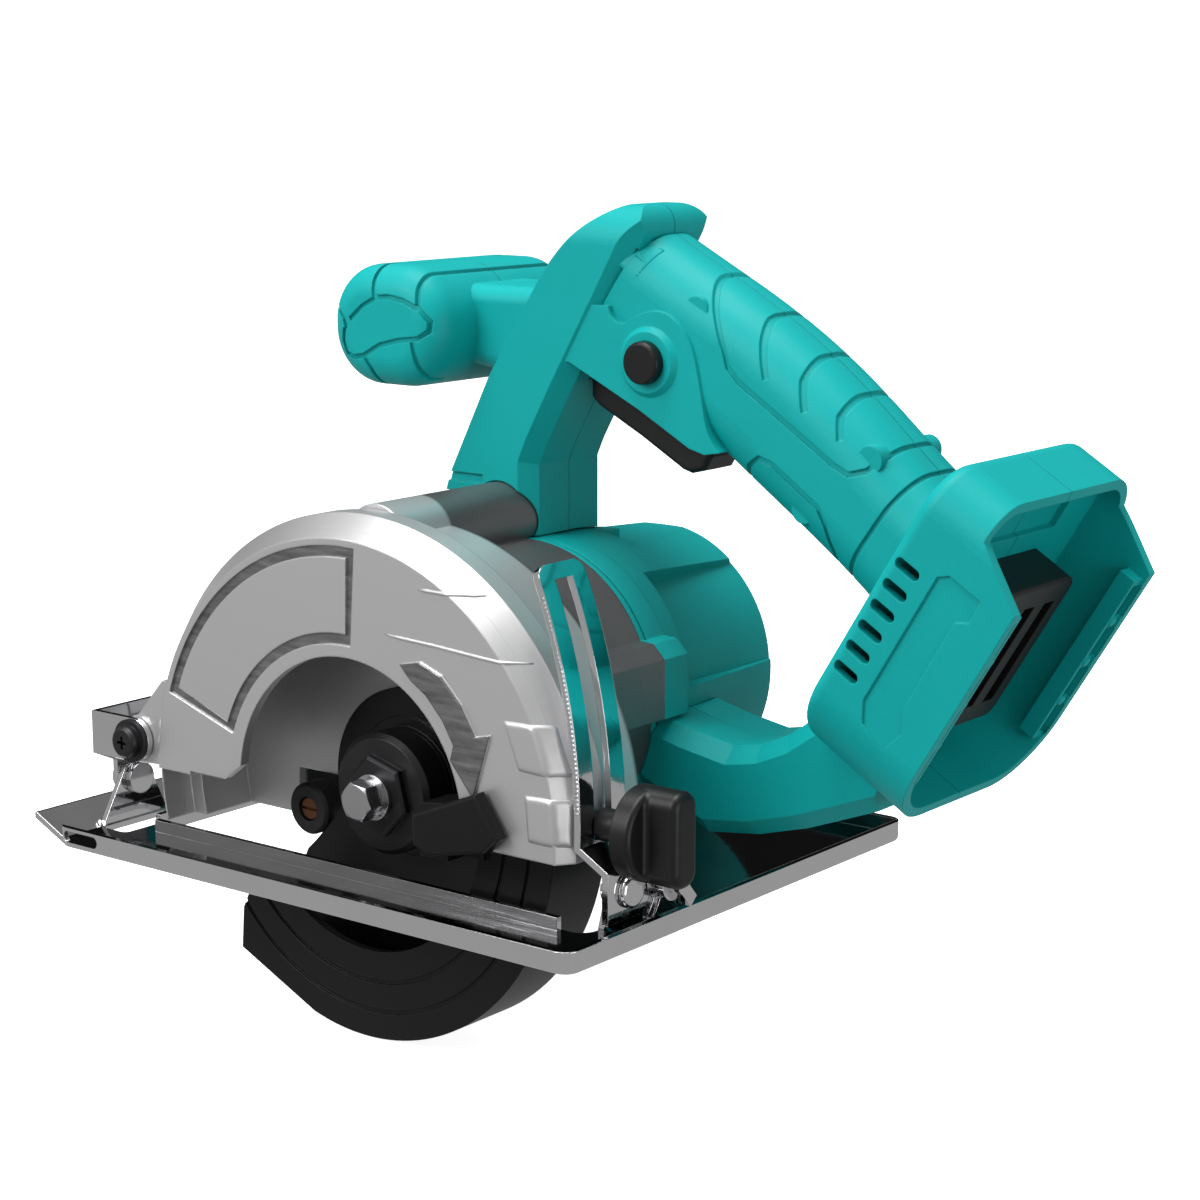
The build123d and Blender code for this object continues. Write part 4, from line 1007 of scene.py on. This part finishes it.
@dataclass
class Studio:
    """Floor, lights and camera."""

    eye: Colour = (-0.4883, 0.5352, 0.2181)
    heading: float = 38.01
    pitch: float = 11.0
    lens: float = 79.71
    sensor: float = 36.0
    clip: tuple[float, float] = (0.01, 50.0)
    floor_z: float = -0.0445
    floor_half: float = 8.0
    floor_glow: float = 0.95
    dome: float = 7.5
    fill: float = 0.40
    lamps: tuple[tuple[str, Colour, Colour, float, float], ...] = (
        ("key", (0.55, 1.25, 1.0), (-0.03, -0.02, 0.08), 0.9, 18),
        ("top", (0.1, 0.1, 1.5), (-0.03, -0.04, 0.08), 0.9, 21),
        ("bay_fill", (-0.95, 0.10, 0.02), (-0.16, -0.07, 0.08), 0.5, 2.6),
    )

    def camera(self) -> None:
        """Camera at the photograph's viewing angle."""
        b, p = math.radians(self.heading), math.radians(self.pitch)
        ahead = Vector((math.sin(b) * math.cos(p), -math.cos(b) * math.cos(p), -math.sin(p)))
        right = Vector((-math.cos(b), -math.sin(b), 0.0))
        up = right.cross(ahead)
        data = bpy.data.cameras.new("camera")
        data.lens = self.lens
        data.sensor_width = self.sensor
        data.clip_start, data.clip_end = self.clip
        eye = put("camera", data)
        turn = Matrix((right, up, -ahead)).transposed().to_4x4()
        eye.matrix_world = Matrix.Translation(self.eye) @ turn
        bpy.context.scene.camera = eye

    def sheet(self, name: str, corners: Sequence[Colour], material: bpy.types.Material) -> bpy.types.Object:
        """Flat stage sheet.

        Args:
            name: object name.
            corners: four corners in metres.
            material: its material.

        Returns:
            The sheet.
        """
        mesh = bpy.data.meshes.new(name)
        mesh.from_pydata([Vector(c) for c in corners], [], [(0, 1, 2, 3)])
        mesh.materials.append(material)
        piece = put(name, mesh)
        return piece

    def flag(self, name: str, turn: float, away: float, low: float, high: float, wide: float) -> None:
        """Dark cloth that only reflections see.

        Args:
            name: object name.
            turn: its direction from the saw, degrees from +X.
            away: its distance in metres.
            low: height of its lower edge.
            high: height of its upper edge.
            wide: its width.
        """
        out = Vector((math.cos(math.radians(turn)), math.sin(math.radians(turn)), 0.0))
        side = Vector((-out.y, out.x, 0.0)) * wide / 2
        foot = out * away + Vector((0, 0, low))
        head = out * away + Vector((0, 0, high))
        cloth = Shader(name)
        weave = cloth.mix(cloth.noise(60, 2), (0.012, 0.012, 0.012), (0.02, 0.02, 0.02))
        dark = cloth.finish(Base_Color=weave, Roughness=1.0, Specular_IOR_Level=0.0)
        piece = self.sheet(name, [foot - side, foot + side, head + side, head - side], dark)
        piece.visible_camera = False
        piece.visible_diffuse = False
        piece.visible_shadow = False

    def backdrop(self) -> None:
        """White paper round the stage, seen behind the saw only."""
        sheet = bmesh.new()
        bmesh.ops.create_uvsphere(sheet, u_segments=48, v_segments=24, radius=self.dome)
        mesh = bpy.data.meshes.new("backdrop")
        sheet.to_mesh(mesh)
        sheet.free()
        paper = Shader("backdrop_paper")
        tone = paper.mix(paper.noise(2, 2), (0.98, 0.98, 0.98), (1.0, 1.0, 1.0))
        mesh.materials.append(paper.finish(Base_Color=tone, Emission_Color=tone, Emission_Strength=1.0))
        piece = put("backdrop", mesh)
        piece.visible_diffuse = False
        piece.visible_glossy = False
        piece.visible_shadow = False

    def lamp(self, name: str, place: Colour, aim: Colour, size: float, power: float) -> None:
        """Soft square lamp.

        Args:
            name: object name.
            place: position in metres.
            aim: point it shines at.
            size: side in metres.
            power: watts.
        """
        data = bpy.data.lights.new(name, "AREA")
        data.shape = "SQUARE"
        data.size = size
        data.energy = power
        lamp = put(name, data)
        lamp.location = place
        lamp.rotation_mode = "QUATERNION"
        lamp.rotation_quaternion = (Vector(aim) - Vector(place)).to_track_quat("-Z", "Y")

    def build(self) -> None:
        """Make the whole stage."""
        self.camera()
        paper = Shader("floor_paper")
        tone = paper.mix(paper.noise(3, 2), (0.90, 0.90, 0.90), (0.94, 0.94, 0.94))
        floor = paper.finish(
            Base_Color=tone, Roughness=0.9, Emission_Color=tone, Emission_Strength=self.floor_glow
        )
        half, z = self.floor_half, self.floor_z
        corners = [(-half, -half, z), (half, -half, z), (half, half, z), (-half, half, z)]
        ground = self.sheet("floor", corners, floor)
        ground.visible_diffuse = False
        ground.visible_glossy = False
        self.backdrop()
        world = bpy.data.worlds.new("studio")
        world.use_nodes = True
        back = world.node_tree.nodes["Background"]
        back.inputs["Color"].default_value = (1.0, 1.0, 1.0, 1.0)
        back.inputs["Strength"].default_value = self.fill
        bpy.context.scene.world = world
        bpy.context.scene.view_settings.view_transform = "Standard"
        self.flag("flag_back", 308.0, 1.6, 0.14, 1.3, 4.6)
        for settings in self.lamps:
            self.lamp(*settings)


def main() -> None:
    """Build the stage, then dress the saw."""
    logging.basicConfig(level=logging.INFO, format="%(name)s: %(message)s")
    Studio().build()
    wardrobe = Wardrobe()
    Dresser().dress(wardrobe)
    CaseRelief().build(wardrobe)
    DepthStrip().build(wardrobe)
    BatteryBay().build(wardrobe)
    CrownWeb().build(wardrobe)


if __name__ == "__main__":
    main()
